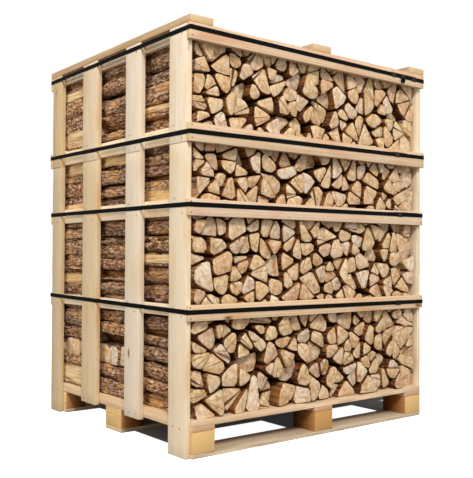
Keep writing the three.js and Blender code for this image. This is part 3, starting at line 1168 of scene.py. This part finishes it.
def end_offset(draw, shown):
    """How far an end lies back: most by a few millimetres, and a few deep in shade."""
    deep = draw() < DEEP_ENDS and not shown
    return between(draw, *(DEEP if deep else STRAY))


def describe_log(ground, draw, outside, shown, way):
    outline, bark, heart = shape_log(ground, draw, outside, way)
    outline = settle(outline, ground, draw, way["sizes"])
    outline, bark = keep_apart(outline, bark, ground, way)
    return {
        "outline": outline,
        "bark": bark,
        "heart": (heart.x / 1000, heart.y / 1000),
        "middle": tuple(measure(ground)[1] / 1000),
        "ends": (end_offset(draw, shown), -end_offset(draw, shown)),
        "lean": (between(draw, *SAW_LEAN), between(draw, *SAW_LEAN)),
        "tone": (draw(), draw(), draw()),
        "shift": between(draw, 0, 40),
        "shown": shown,
    }


def log_piece(name, logs, y, stations):
    piece = draw_ends(name, logs, y)
    saw_and_split(piece, y, stations)
    numbers = roughen(piece, logs, y)
    number_logs(piece, logs, numbers)
    piece.data.materials.append(split_side)
    piece.data.materials.append(sawn_end)
    for face in piece.data.polygons:
        face.material_index = 1 if abs(face.normal.y) > 0.9 else 0
    smooth(piece, LOG_SMOOTH_DEGREES)
    return piece


print("ends lie back by up to", round(DEEP[1] * 1000), "mm")

# %% [markdown]
# ## Sawn ends of logs
#
# The wood is a pale hardwood such as birch or alder, sawn across and dried. The saw left straight
# fine lines, each log in its own direction, drying opened cracks from the heart outwards, and
# the colours run from cream and grey to orange. Rings are circles round the heart, which each
# log's coordinates have at zero, drawn 7 mm apart because real ones would be too fine to show.

# %% Sawn end material
LOG_RING_MM = 7
SAWN_TONES = [
    (0.0, 0xE2C08E),
    (0.2, 0xEED8B2),
    (0.4, 0xE4C498),
    (0.6, 0xEACF9E),
    (0.75, 0xE0B88C),
    (0.87, 0xF1E3CC),
    (1.0, 0xDEBE9C),
]

sawn_end, shader, add = new_material("sawn_log_end")
grain = add("Attribute", output="Vector", attribute_name="grain")
own_numbers = add("Attribute", output="Vector", attribute_name="tone")
tone, turn, dryness = add("SeparateXYZ", {0: own_numbers}).node.outputs
flat = add("VectorMath", {0: grain, 1: (1, 0, 1)}, operation="MULTIPLY")

# Rings round the heart, and a dark spot at it
radius = add("VectorMath", {0: flat}, operation="LENGTH")
wander = {0: noise_pattern(add, grain, 28, detail=2), 1: 0.012, 2: radius}
rings = ring_waves(add, add("Math", wander, operation="MULTIPLY_ADD"), LOG_RING_MM)
rings = add("Math", {0: rings, 1: 0.3}, operation="MULTIPLY")
spot = add("MapRange", {"Value": radius, "From Min": 0.03, "From Max": 0.0})
spot = add("Math", {0: spot, 1: dryness}, operation="MULTIPLY")
spot = add("Math", {0: spot, 1: 0.7}, operation="MULTIPLY")

# Saw lines in each log's own direction
angle = add("Math", {0: turn, 1: 2 * math.pi}, operation="MULTIPLY")
turned = add("VectorRotate", {"Vector": flat, "Axis": (0, 1, 0), "Angle": angle})
lines = noise_pattern(add, turned, (260, 0, 14), detail=1)

# Cracks run where noise along a circle round the heart crosses its middle value
spoke = add("VectorMath", {0: flat}, operation="NORMALIZE")
own_place = add("VectorMath", {0: own_numbers, 1: (40, 40, 40)}, operation="MULTIPLY")
spoke = add("VectorMath", {0: spoke, 1: own_place}, operation="ADD")
off_crack = add("Math", {0: noise_pattern(add, spoke, 1.1, detail=1), 1: 0.5}, operation="SUBTRACT")
off_crack = add("Math", {0: off_crack}, operation="ABSOLUTE")
cracks = add("MapRange", {"Value": off_crack, "From Min": 0.011, "From Max": 0.004})
cracked = add("MapRange", {"Value": dryness, "From Min": 0.4, "From Max": 0.5})
cracks = add("Math", {0: cracks, 1: cracked}, operation="MULTIPLY")

base = add("ValToRGB", {0: tone}, stops=SAWN_TONES)
dark = add("Mix", {0: 1.0, 6: base, 7: 0xC79A66}, **MULTIPLIED)
mottle = noise_pattern(add, grain, 62, detail=4, roughness=0.68)
colour = layered(
    add,
    base,
    (rings, dark),
    (noise_pattern(add, grain, 34, roughness=0.6), 0xC99058, 0.48, 0.76),
    (mottle, 0xA57B57, 0.52, 0.74),
    (mottle, 0xF4E3C8, 0.5, 0.26),
    (spot, 0xB87C46),
    (lines, 0xA87C52, 0.52, 0.9),
    (cracks, 0x5F4029),
)
height = add("Math", {0: lines, 1: rings}, operation="ADD")
height = add("Math", {0: height, 1: cracks}, operation="SUBTRACT")
finish_surface(
    shader, add, colour, height, depth=0.0015, strength=0.8, roughness=0.85, specular=0.15
)
print("nodes in", sawn_end.name + ":", len(sawn_end.node_tree.nodes))

# %% [markdown]
# ## Bark and split faces
#
# The sides of a log are of two kinds. Bark is brown and grey plates with dark furrows between
# them, drawn out along the log, with orange inner bark where a plate fell off. A split face is
# yellow and fibrous, because the wood tore along its fibres. One material mixes the two by the
# bark number that each point keeps, and noise makes the border between them ragged. The sides
# of logs buried in the stack get a painted shade, darker than those at its outside.

# %% Bark and split face material
BARK_FLAKES = [
    (0.3, 0x38251A),
    (0.41, 0x7C5C48),
    (0.5, 0xB8987C),
    (0.58, 0xE8D0B6),
    (0.68, 0xFFFAF0),
]
BARK_TINTS = [
    (0.0, 0xAE8472),
    (0.25, 0xEFC594),
    (0.5, 0xB9A294),
    (0.75, 0xF4D2A0),
    (1.0, 0x9C7862),
]
SPLIT_TONES = [(0.0, 0xE2BC82), (0.5, 0xE9CD9C), (1.0, 0xD2A06A)]

split_side, shader, add = new_material("bark_and_split_wood")
grain = add("Attribute", output="Vector", attribute_name="grain")
tone = add("Attribute", output="Vector", attribute_name="tone")
tone = add("SeparateXYZ", {0: tone}).node.outputs
flakes = noise_pattern(add, grain, (105, 48, 105), detail=5, roughness=0.7)
stain = noise_pattern(add, grain, (18, 9, 18), detail=2)
fibres = noise_pattern(add, grain, (200, 7, 200))
plates = add("VectorMath", {0: grain, 1: (66, 11, 66)}, operation="MULTIPLY")
plates = add("TexVoronoi", {"Vector": plates, "Scale": 1.0}, feature="DISTANCE_TO_EDGE")
furrows = add("MapRange", {"Value": plates, "From Min": 0.05, "From Max": 0.0})
furrows = add("Math", {0: furrows, 1: 0.4}, operation="MULTIPLY")

bark = add("ValToRGB", {0: flakes}, stops=BARK_FLAKES)
tint = add("ValToRGB", {0: tone[2]}, stops=BARK_TINTS)
bark = add("Mix", {0: 0.75, 6: bark, 7: tint}, **MULTIPLIED)
bark = layered(add, bark, (stain, 0xD09A62, 0.52, 0.68), (furrows, 0x3A2618))
split_face = add("ValToRGB", {0: tone[1]}, stops=SPLIT_TONES)
split_face = layered(add, split_face, (fibres, 0xA06C3C, 0.42, 0.7))

# The border between bark and split face is ragged, and buried logs get a painted shade
bark_here = add("Attribute", output="Fac", attribute_name="bark")
ragged = add("Math", {0: flakes, 1: 0.5, 2: bark_here}, operation="MULTIPLY_ADD")
share = add("MapRange", {"Value": ragged, "From Min": 0.7, "From Max": 0.8})
colour = layered(add, split_face, (share, bark))
shaded = add("Mix", {0: 1.0, 6: colour, 7: 0xB89C80}, **MULTIPLIED)
shown = add("Attribute", output="Vector", attribute_name="shown")
colour = layered(add, shaded, (add("SeparateXYZ", {0: shown}), colour))
edges = add("MapRange", {"Value": plates, "From Min": 0.0, "From Max": 0.12})
bark_height = add("Math", {0: flakes, 1: edges}, operation="ADD")
height = add("Mix", {0: share, 2: fibres, 3: bark_height})
finish_surface(shader, add, colour, height, depth=0.0045, strength=1.0, roughness=0.9, specular=0.1)
print("nodes in", split_side.name + ":", len(split_side.node_tree.nodes))

# %% [markdown]
# ## The stacks
#
# Two storeys of three rows make six groups of logs. They could be laid one by one, but a loop
# does it: it shares out the ground, shapes a log on each piece of it and joins the row. In the
# photo a few logs near the foot of the left side lie crossways, so that their ends show in the
# side windows. The rows behind the first give way there, above and below a layer of its own. Logs
# in the back row and near the right side are packed closer, or the light would shine through.

# %% Ways to fill the ground
CROSSWAYS = {"bottom": 246, "top": 318, "reach": -225}
CROSSWAYS_WIDTHS = (60, 86, 66, 92, 58, 84, 70, 74, 44)
CROSSWAYS_GAP = 6
side_rails = [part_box(f"left_rail_{level}") for level in range(1, 5)]
SIDE_RAILS = [(low.z * 1000, high.z * 1000) for low, high in side_rails]
# How logs fill their ground: their size, how far they may go beyond it, how wide the heart is cut
# off and below which angle a corner of a split face is. Those that show lengthwise also have how
# far they lie back and how much of their edge is rounded
BURIED = {"sizes": (1.01, 1.07), "beyond": 1.6, "heart": 17, "face_corner": 115}
PACKED = {"sizes": (1.06, 1.1), "beyond": 3.5, "heart": 8, "face_corner": 0}
FLANK = {"heart": 10, "face_corner": 0}
AT_SIDE = {"sizes": (0.94, 0.99), "beyond": 0.0, "deepest": 9, "shoulders": (0.3, 0.42), **FLANK}
TIGHT = {"sizes": (1.06, 1.1), "beyond": 4.5, "deepest": 2, "shoulders": (0.1, 0.15), **FLANK}
ON_TOP = {"sizes": (0.97, 1.02), "beyond": 0.5, "deepest": 24, "shoulders": (0.22, 0.36), **FLANK}
NEAR_RIGHT = 450
SIDE_REACH = (6, 14)
BACK_REACH = (0.01, 0.016)


def give_way(ground, storey, row):
    """The parts of ground below and above the layer of crossways logs."""
    low, high = CROSSWAYS["bottom"], CROSSWAYS["top"]
    heights = [point.y for point in ground]
    clear = min(heights) > high or max(heights) < low
    beside = row == "front" or min(point.x for point in ground) > CROSSWAYS["reach"]
    if storey is STOREYS["upper"] or clear or beside:
        return [ground]
    below = trim(ground, Vector((0, 1)), low - CROSSWAYS_GAP / 2)
    above = trim(ground, Vector((0, -1)), -high - CROSSWAYS_GAP / 2)
    parts = [part for part in (below, above) if len(part) > 2]
    return [part for part in parts if measure(part)[0] > SMALLEST_LOG]


def lean_out(ground, outside, draw):
    """Lets a log at a side reach out between the side rails, unless it lies behind one."""
    low, high = min(point.y for point in ground), max(point.y for point in ground)
    ends = (outside, (outside + 1) % len(ground))
    at_side = min(abs(ground[end].x) for end in ends) > STACK_HALF_X - 1
    if not at_side or any(low < top and high > bottom for bottom, top in SIDE_RAILS):
        return ground
    out = Vector((math.copysign(between(draw, *SIDE_REACH), ground[outside].x), 0))
    return [point + out if index in ends else point for index, point in enumerate(ground)]


def crossways_logs(draw):
    """A layer of logs whose ends face the left side."""
    logs = []
    left = -160
    for width in CROSSWAYS_WIDTHS:
        lean = between(draw, -16, 16)
        low, high = CROSSWAYS["bottom"], CROSSWAYS["top"] - between(draw, 0, 5)
        right = left + width
        corners = ((left, low), (right, low), (right + lean, high), (left + lean, high))
        ground = [Vector(corner) for corner in corners]
        logs.append(describe_log(ground, draw, None, True, BURIED))
        left += width + CROSSWAYS_GAP
    return logs


print("crossways logs:", len(CROSSWAYS_WIDTHS))

# %% [markdown]
# Now all six rows are made. Each log gets the way that suits its place, each row becomes one
# piece, and the logs that show lengthwise are made apart first, because only they need cuts along
# their length.

# %% All rows
total = 0
for storey_name, storey in STOREYS.items():
    for row_number, (row, side) in enumerate(DEPTHS.items()):
        draw = random_stream(storey["seed"] + 900 + row_number)
        y = (side * ROW_PITCH - LOG_LENGTH / 2) / 1000
        groups = {True: [], False: []}
        whole = grounds(storey, row_number)
        for ground in [part for ground in whole for part in give_way(ground, storey, row)]:
            outside = outside_edge(ground, storey)
            shown = outside is not None
            near_right = max(point.x for point in ground) > NEAR_RIGHT
            way = PACKED if row == "back" or near_right else BURIED
            if shown:
                after = ground[(outside + 1) % len(ground)]
                on_top = min(abs(ground[outside].x), abs(after.x)) < STACK_HALF_X - 1
                at_side = max(abs(point.x) for point in ground) > STACK_HALF_X - 1
                at_corner = at_side and max(point.y for point in ground) > storey["top"] - 1
                tight = row == "back" or ground[outside].x > 0
                way = ON_TOP if on_top else TIGHT if tight else AT_SIDE
                way = TIGHT if at_corner else way
                ground = lean_out(ground, outside, draw)
            log = describe_log(ground, draw, outside, shown, way)
            if way is TIGHT and row == "back":
                log["ends"] = (log["ends"][0], between(draw, *BACK_REACH))
            groups[shown].append(log)
        name = f"logs_{storey_name}_{row}"
        shown_logs = log_piece(name, groups[True], y, SHOWN_STATIONS)
        buried_logs = log_piece(name + "_inner", groups[False], y, 1)
        join([buried_logs], shown_logs)
        finish_piece(shown_logs, "split_logs", "logs_" + storey_name)
        count = len(groups[True]) + len(groups[False])
        total += count
        print(name, count, "logs,", len(shown_logs.data.polygons), "faces")
print("logs:", total)

# %% [markdown]
# The layer of crossways logs is made like a row and then turned by swapping its X and Y. A turn
# by a right angle would do the same, but would leave the logs' own coordinates to be turned too.

# %% Crossways logs
cross_logs = crossways_logs(random_stream(321))
crossways = log_piece("logs_crossways", cross_logs, -STACK_HALF_X / 1000, 8)
move_points(crossways, points_of(crossways)[:, [1, 0, 2]])
edit_mode(crossways, "FACE")
turn_faces_outwards()
finish_piece(crossways, "split_logs", "logs_lower")
print("crossways logs:", len(cross_logs))

# %% [markdown]
# ## Straps and seals
#
# Plastic packing band, 15.5 mm wide and less than a millimetre thick, is pulled tight round the
# crate by a machine. A curve with a flat profile would also do, but a band is easier to see as a
# loop of four edges: a plane loses its face, its four corners are rounded where the band bends
# over the wood, and the edges are pulled up to the band's width and given its thickness. A band
# that is pulled tight by hand never runs quite level, so each is lifted or lowered by some
# millimetres at its corners. Near the right of the front the two ends of each band overlap under
# pinched metal seals, and the end of the highest one hangs out in a small curl.

# %% Band and seal material
BAND = 0.0009
BEND = 0.003
SEAL = {"length": 0.026, "height": 0.0195, "depth": 0.0024, "notch": 0.14}
CURL = {"x": 461, "drop": 0.0165, "radius": 0.0072, "width": 0.006, "wall": 0.0075}
# Where each band is doubled and sealed along the front, in millimetres from the middle
OVERLAPS = {
    "strap_1": {"ends": (418, 470), "seals": (444,), "lift": -3},
    "strap_2": {"ends": (377, 575), "seals": (452,), "lift": 2},
    "strap_3": {"ends": (377, 484), "seals": (431,), "lift": 2},
    "strap_4": {"ends": (380, 545), "seals": (409, 466, 536), "lift": 1},
}

band_black, shader, add = new_material("black_packing_band")
embossing = noise_pattern(add, add("TexCoord", output="Object"), 700, detail=1)
finish_surface(
    shader, add, 0x070707, embossing, depth=0.0004, strength=0.5, roughness=0.7, specular=0.1
)

# How far each band is off level at its corners, in millimetres: left and right, front then back
OFF_LEVEL = {
    "strap_1": ((-1.5, -5), (12, 0)),
    "strap_2": ((-4.5, 0), (0, 0)),
    "strap_3": ((-9, 2), (3, 0)),
    "strap_4": ((1.5, -7), (1.5, -3)),
}

seal_steel, shader, add = new_material("painted_seal")
scuffs = noise_pattern(add, add("TexCoord", output="Object"), 220)
greys = [(0.45, 0x0A0A0B), (0.62, 0x1C1D1F), (0.75, 0x4C4E50)]
colour = add("ValToRGB", {0: scuffs}, stops=greys)
set_inputs(shader, {"Base Color": colour, "Metallic": 0.6, "Roughness": 0.45})


print("nodes in", seal_steel.name + ":", len(seal_steel.node_tree.nodes))

# %% [markdown]
# The band itself comes first, and then its loose end, which is a second layer on it.

# %% Bands
def give_thickness(piece, thickness, offset=-1):
    pick(piece)
    wall = piece.modifiers.new("wall", "SOLIDIFY")
    wall.thickness = thickness
    wall.offset = offset
    bpy.ops.object.modifier_apply(modifier=wall.name)


def band_loop(node):
    """A closed band on the outside of its CAD node, rounded at the four corners."""
    low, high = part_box(node)
    object_mode()
    bpy.ops.mesh.primitive_plane_add(size=1, location=(0, 0, low.z))
    piece = bpy.context.object
    piece.name = node + "_band"
    piece.scale = (high.x - low.x, high.y - low.y, 1)
    apply_place()
    edit_mode(piece, "VERT")
    select_everything()
    bpy.ops.mesh.delete(type="ONLY_FACE")
    select_everything()
    bpy.ops.mesh.bevel(offset=BEND, segments=3, affect="VERTICES")
    select_everything()
    upwards = {"value": (0, 0, high.z - low.z)}
    bpy.ops.mesh.extrude_edges_move(TRANSFORM_OT_translate=upwards)
    turn_faces_outwards()
    give_thickness(piece, BAND)
    piece.data.materials.append(band_black)
    return piece


def doubled_band(node, ends, lift):
    """The loose end of a band, which lies on the band itself and never quite in line with it."""
    low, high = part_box(node)
    start, stop = (x / 1000 for x in ends)
    near = Vector((start, low.y - BAND, low.z))
    piece = box_piece(node + "_end", near, Vector((stop, low.y - 0.0001, high.z)))
    cut_across(piece, 0, near, Vector((stop, 0, 0)))
    object_mode()
    points = points_of(piece)
    share = (points[:, 0] - start) / (stop - start)
    points[:, 2] += lift / 1000 * np.sin(share * math.pi) + 0.0012 * share
    move_points(piece, points)
    piece.data.materials.append(band_black)
    return piece


print("the band is", BAND * 1000, "mm thick")

# %% [markdown]
# A seal is a flat sleeve with notches where the tool pinched it. The curl is a tight ring of band.
# At last each strap is joined and its corners are lifted or lowered.

# %% Seals and the loose end
def pinched_seal(node, x):
    """A flat metal sleeve round both layers, notched where the tool pinched it."""
    low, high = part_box(node)
    middle = Vector((x / 1000, low.y, (low.z + high.z) / 2))
    half = Vector((SEAL["length"], SEAL["depth"], SEAL["height"])) / 2
    piece = box_piece(node + "_seal", middle - half, middle + half)
    edit_mode(piece, "FACE")
    for share in (-0.5, -0.3, -0.1, 0.1, 0.3, 0.5):
        cut_at(0, middle.x + share * SEAL["length"] * 0.7)
    object_mode()
    points = points_of(piece)
    notch = np.cos((points[:, 0] - middle.x) / SEAL["length"] * 4 * math.pi) > 0.4
    inner = np.abs(points[:, 0] - middle.x) < SEAL["length"] * 0.4
    points[notch & inner, 2] += (middle.z - points[notch & inner, 2]) * SEAL["notch"]
    move_points(piece, points)
    bevel_sharp(piece, 0.0004, 1)
    piece.data.materials.append(seal_steel)
    return piece


def hanging_curl(node):
    """The end of the band, curled up so tightly that hardly any light comes through."""
    low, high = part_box(node)
    object_mode()
    place = (CURL["x"] / 1000, low.y - 0.0015, (low.z + high.z) / 2 - CURL["drop"])
    bpy.ops.mesh.primitive_circle_add(vertices=20, radius=CURL["radius"], location=place)
    piece = bpy.context.object
    piece.name = node + "_curl"
    piece.rotation_euler = (math.pi / 2, 0.3, 0)
    piece.scale = (0.9, 1.1, 1)
    apply_place()
    edit_mode(piece, "EDGE")
    select_everything()
    forwards = {"value": (0, -CURL["width"], 0)}
    bpy.ops.mesh.extrude_edges_move(TRANSFORM_OT_translate=forwards)
    turn_faces_outwards()
    give_thickness(piece, CURL["wall"], 0)
    piece.data.materials.append(band_black)
    return piece


def tilt(piece, node, corners):
    """Lifts or lowers each point by the amounts at the four corners of its node."""
    low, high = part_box(node)
    points = points_of(piece)
    right = np.clip((points[:, 0] - low.x) / (high.x - low.x), 0, 1)
    back = np.clip((points[:, 1] - low.y) / (high.y - low.y), 0, 1)
    front_lift, back_lift = (left + (far - left) * right for left, far in corners)
    points[:, 2] += (front_lift + (back_lift - front_lift) * back) / 1000
    move_points(piece, points)


for node, overlap in OVERLAPS.items():
    band = band_loop(node)
    parts = [doubled_band(node, overlap["ends"], overlap["lift"])]
    parts += [pinched_seal(node, x) for x in overlap["seals"]]
    if node == "strap_4":
        parts.append(hanging_curl(node))
    join(parts, band)
    smooth(band, BOARD_SMOOTH_DEGREES)
    tilt(band, node, OFF_LEVEL[node])
    finish_piece(band, "strap_plastic", node)
    print(node, len(band.data.polygons), "faces")

# %% [markdown]
# ## Nails
#
# Two nails hold each board where it crosses another. Only their heads show: small round plates
# of dull steel with a soft rim. One head is made from a low cylinder with a bevelled edge, and
# the others are copies of it, turned to the side that they are driven from.

# %% Nails
NAIL_RADIUS = 0.0031
NAIL_OUT = 0.0005
HEAD_DEPTH = 0.003
FROM_RAIL_END = 0.01
FROM_PLANK_END = 0.011

nail_steel, shader, add = new_material("dull_nail_steel")
rust = noise_pattern(add, add("TexCoord", output="Object"), 160, detail=2)
colour = add("ValToRGB", {0: rust}, stops=[(0.4, 0x857A6E), (0.6, 0x8E6A4C)])
set_inputs(shader, {"Base Color": colour, "Metallic": 0.4, "Roughness": 0.6})

object_mode()
bpy.ops.mesh.primitive_cylinder_add(vertices=10, radius=NAIL_RADIUS, depth=HEAD_DEPTH)
nail_pattern = bpy.context.object
nail_pattern.data.materials.append(nail_steel)
edit_mode(nail_pattern, "EDGE")
select_edges(nail_pattern, lambda a, b: min(a.z, b.z) > 0.001)
bpy.ops.mesh.bevel(offset=0.0008, segments=2, affect="EDGES")
object_mode()
nails = []


def drive_nail(place, way):
    """A nail head at a place on a face, looking out of it."""
    nail = nail_pattern.copy()
    nail.data = nail_pattern.data.copy()
    turn = Vector(way).to_track_quat("Z", "Y").to_matrix().to_4x4()
    surface = Vector(place) + Vector(way) * (NAIL_OUT - HEAD_DEPTH / 2)
    nail.data.transform(Matrix.Translation(surface) @ turn)
    bpy.context.collection.objects.link(nail)
    nails.append(nail)


def nails_through(plank, heights, draw):
    """Two nails at each height, a little out of line, on a plank at the side of the crate."""
    low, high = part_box(plank)
    sign = math.copysign(1, low.x)
    outer = high.x if sign > 0 else low.x
    for bottom, top in heights:
        for share, z in ((0.28, bottom), (0.72, top)):
            y = low.y + (high.y - low.y) * share + between(draw, -0.008, 0.008)
            drive_nail((outer, y, z + between(draw, -0.003, 0.003)), (sign, 0, 0))


nail_draw = random_stream(88)
for side in ("left", "right"):
    rails = [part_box(f"{side}_rail_{level}") for level in range(1, 5)]
    spans = [(low.z + 0.007, high.z - 0.005) for low, high in rails]
    for index in range(1, 5):
        nails_through(f"lower_plank_{side}_{index}", [(0.094, 0.098), *spans[:2]], nail_draw)
        nails_through(f"upper_plank_{side}_{index}", spans[2:], nail_draw)
for depth, sign in (("front", -1), ("back", 1)):
    for level in range(1, 5):
        low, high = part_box(f"{depth}_rail_{level}")
        outer = low.y if sign < 0 else high.y
        for x in (low.x + FROM_RAIL_END, high.x - FROM_RAIL_END):
            for z in (low.z + FROM_RAIL_END, high.z - FROM_RAIL_END):
                stray = between(nail_draw, -0.002, 0.002)
                drive_nail((x + stray, outer, z - stray), (0, sign, 0))
for place in ("left", "centre", "right"):
    low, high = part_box(f"top_plank_{place}")
    for y in (low.y + FROM_PLANK_END, high.y - FROM_PLANK_END):
        for share in (0.3, 0.7):
            x = low.x + (high.x - low.x) * share
            drive_nail((x + between(nail_draw, -0.006, 0.006), y, high.z), (0, 0, 1))
nail_heads = nails[0]
join(nails[1:], nail_heads)
nail_heads.name = "nail_heads"
nail_heads.data.name = "nail_heads"
bpy.data.objects.remove(nail_pattern)
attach(nail_heads, "root")
print("nails:", len(nails), "faces:", len(nail_heads.data.polygons))

# %% [markdown]
# ## Floor and light
#
# The photo is lit like a catalogue picture, and its ground was painted white afterwards: only
# under the pallet the floor is still dark. A white floor alone would be grey where the pallet
# shades it. So the floor glows white, for the camera only, and the glow stops under the pallet
# and a little beyond it, where a few rectangles mark the shade. For the light that the floor
# throws back at the wood it is a plain grey.

# %% Floor
# Rectangles of painted shade on the floor, under the pallet and a little beyond it: low and high X,
# low and high Y, softness
CRISP = 0.004
SHADE = (
    (-0.42, 0.92, -0.21, 0.62, 0.1),
    (-0.52, -0.4, -0.42, 0.08, CRISP),
    (-0.02, 0.2, -0.42, -0.15, CRISP),
    (0.505, 0.72, -0.4, -0.1, 0.04),
)
FLOOR_GREY = 0x808080
FLOOR_WHITE = 0xDCDCDC
FLOOR_SHADE = 0x4A423B

object_mode()
bpy.ops.mesh.primitive_plane_add(size=40)
floor = bpy.context.object
floor.name = "studio_floor"
floor_paint, shader, add = new_material("white_floor")
seen = add("LightPath", output="Is Camera Ray")
place = add("TexCoord", output="Object")
place = add("SeparateXYZ", {0: place}).node.outputs


def shade_between(coordinate, low, high, soft):
    """1 between two places along X or Y and 0 outside them, with a soft end at the far one."""
    rises = {"Value": coordinate, "From Min": low - CRISP, "From Max": low + CRISP}
    falls = {"Value": coordinate, "From Min": high + soft, "From Max": high - soft}
    return add("Math", {0: add("MapRange", rises), 1: add("MapRange", falls)}, operation="MULTIPLY")


under = 0.0
for low_x, high_x, low_y, high_y, soft in SHADE:
    across = shade_between(place[0], low_x, high_x, soft)
    along = shade_between(place[1], low_y, high_y, soft)
    shade = add("Math", {0: across, 1: along}, operation="MULTIPLY")
    under = add("Math", {0: shade, 1: under}, operation="MAXIMUM")
painted = layered(add, FLOOR_WHITE, (under, FLOOR_SHADE))
colour = layered(add, FLOOR_GREY, (seen, painted))
unlit = add("Math", {0: under, 1: 0.98}, operation="MULTIPLY")
lit = add("Math", {0: 1.0, 1: unlit}, operation="SUBTRACT")
glow = add("Math", {0: seen, 1: lit}, operation="MULTIPLY")
set_inputs(shader, {"Base Color": colour, "Roughness": 0.9})
set_inputs(shader, {"Emission Color": 0xFFFFFF, "Emission Strength": glow})
floor.data.materials.append(floor_paint)
print("rectangles of shade:", len(SHADE))

# %% [markdown]
# Light comes from all round, softly. The sky is an even white, and three large lamps give the
# wood its form: one high at the front, one at the left for the side windows, and a weak one that
# fills the shade at the right of the logs. The Standard view keeps the colours as they are mixed.

# %% Lights
LAMP_AIM = Vector((0, 0, 0.7))

world = bpy.data.worlds.new("studio")
bpy.context.scene.world = world
world.use_nodes = True
add = node_adder(world.node_tree)
seen = add("LightPath", output="Is Camera Ray")
power = add("MapRange", {"Value": seen, "To Min": 0.5, "To Max": 1.0})
set_inputs(world.node_tree.nodes["Background"], {"Color": 0xFFFFFF, "Strength": power})


def studio_lamp(name, place, size, power):
    object_mode()
    bpy.ops.object.light_add(type="AREA", location=place)
    lamp = bpy.context.object
    lamp.name = name
    lamp.data.shape = "SQUARE"
    lamp.data.size = size
    lamp.data.energy = power
    lamp.rotation_euler = (LAMP_AIM - Vector(place)).to_track_quat("-Z", "Y").to_euler()
    print(name, power, "watts")


studio_lamp("key_lamp", (-3.4, -5.8, 6.2), 1.8, 525)
studio_lamp("side_lamp", (-6.2, -0.4, 3.8), 3.6, 195)
studio_lamp("fill_lamp", (3.6, -5.0, 2.4), 2.6, 60)
bpy.context.scene.view_settings.view_transform = "Standard"
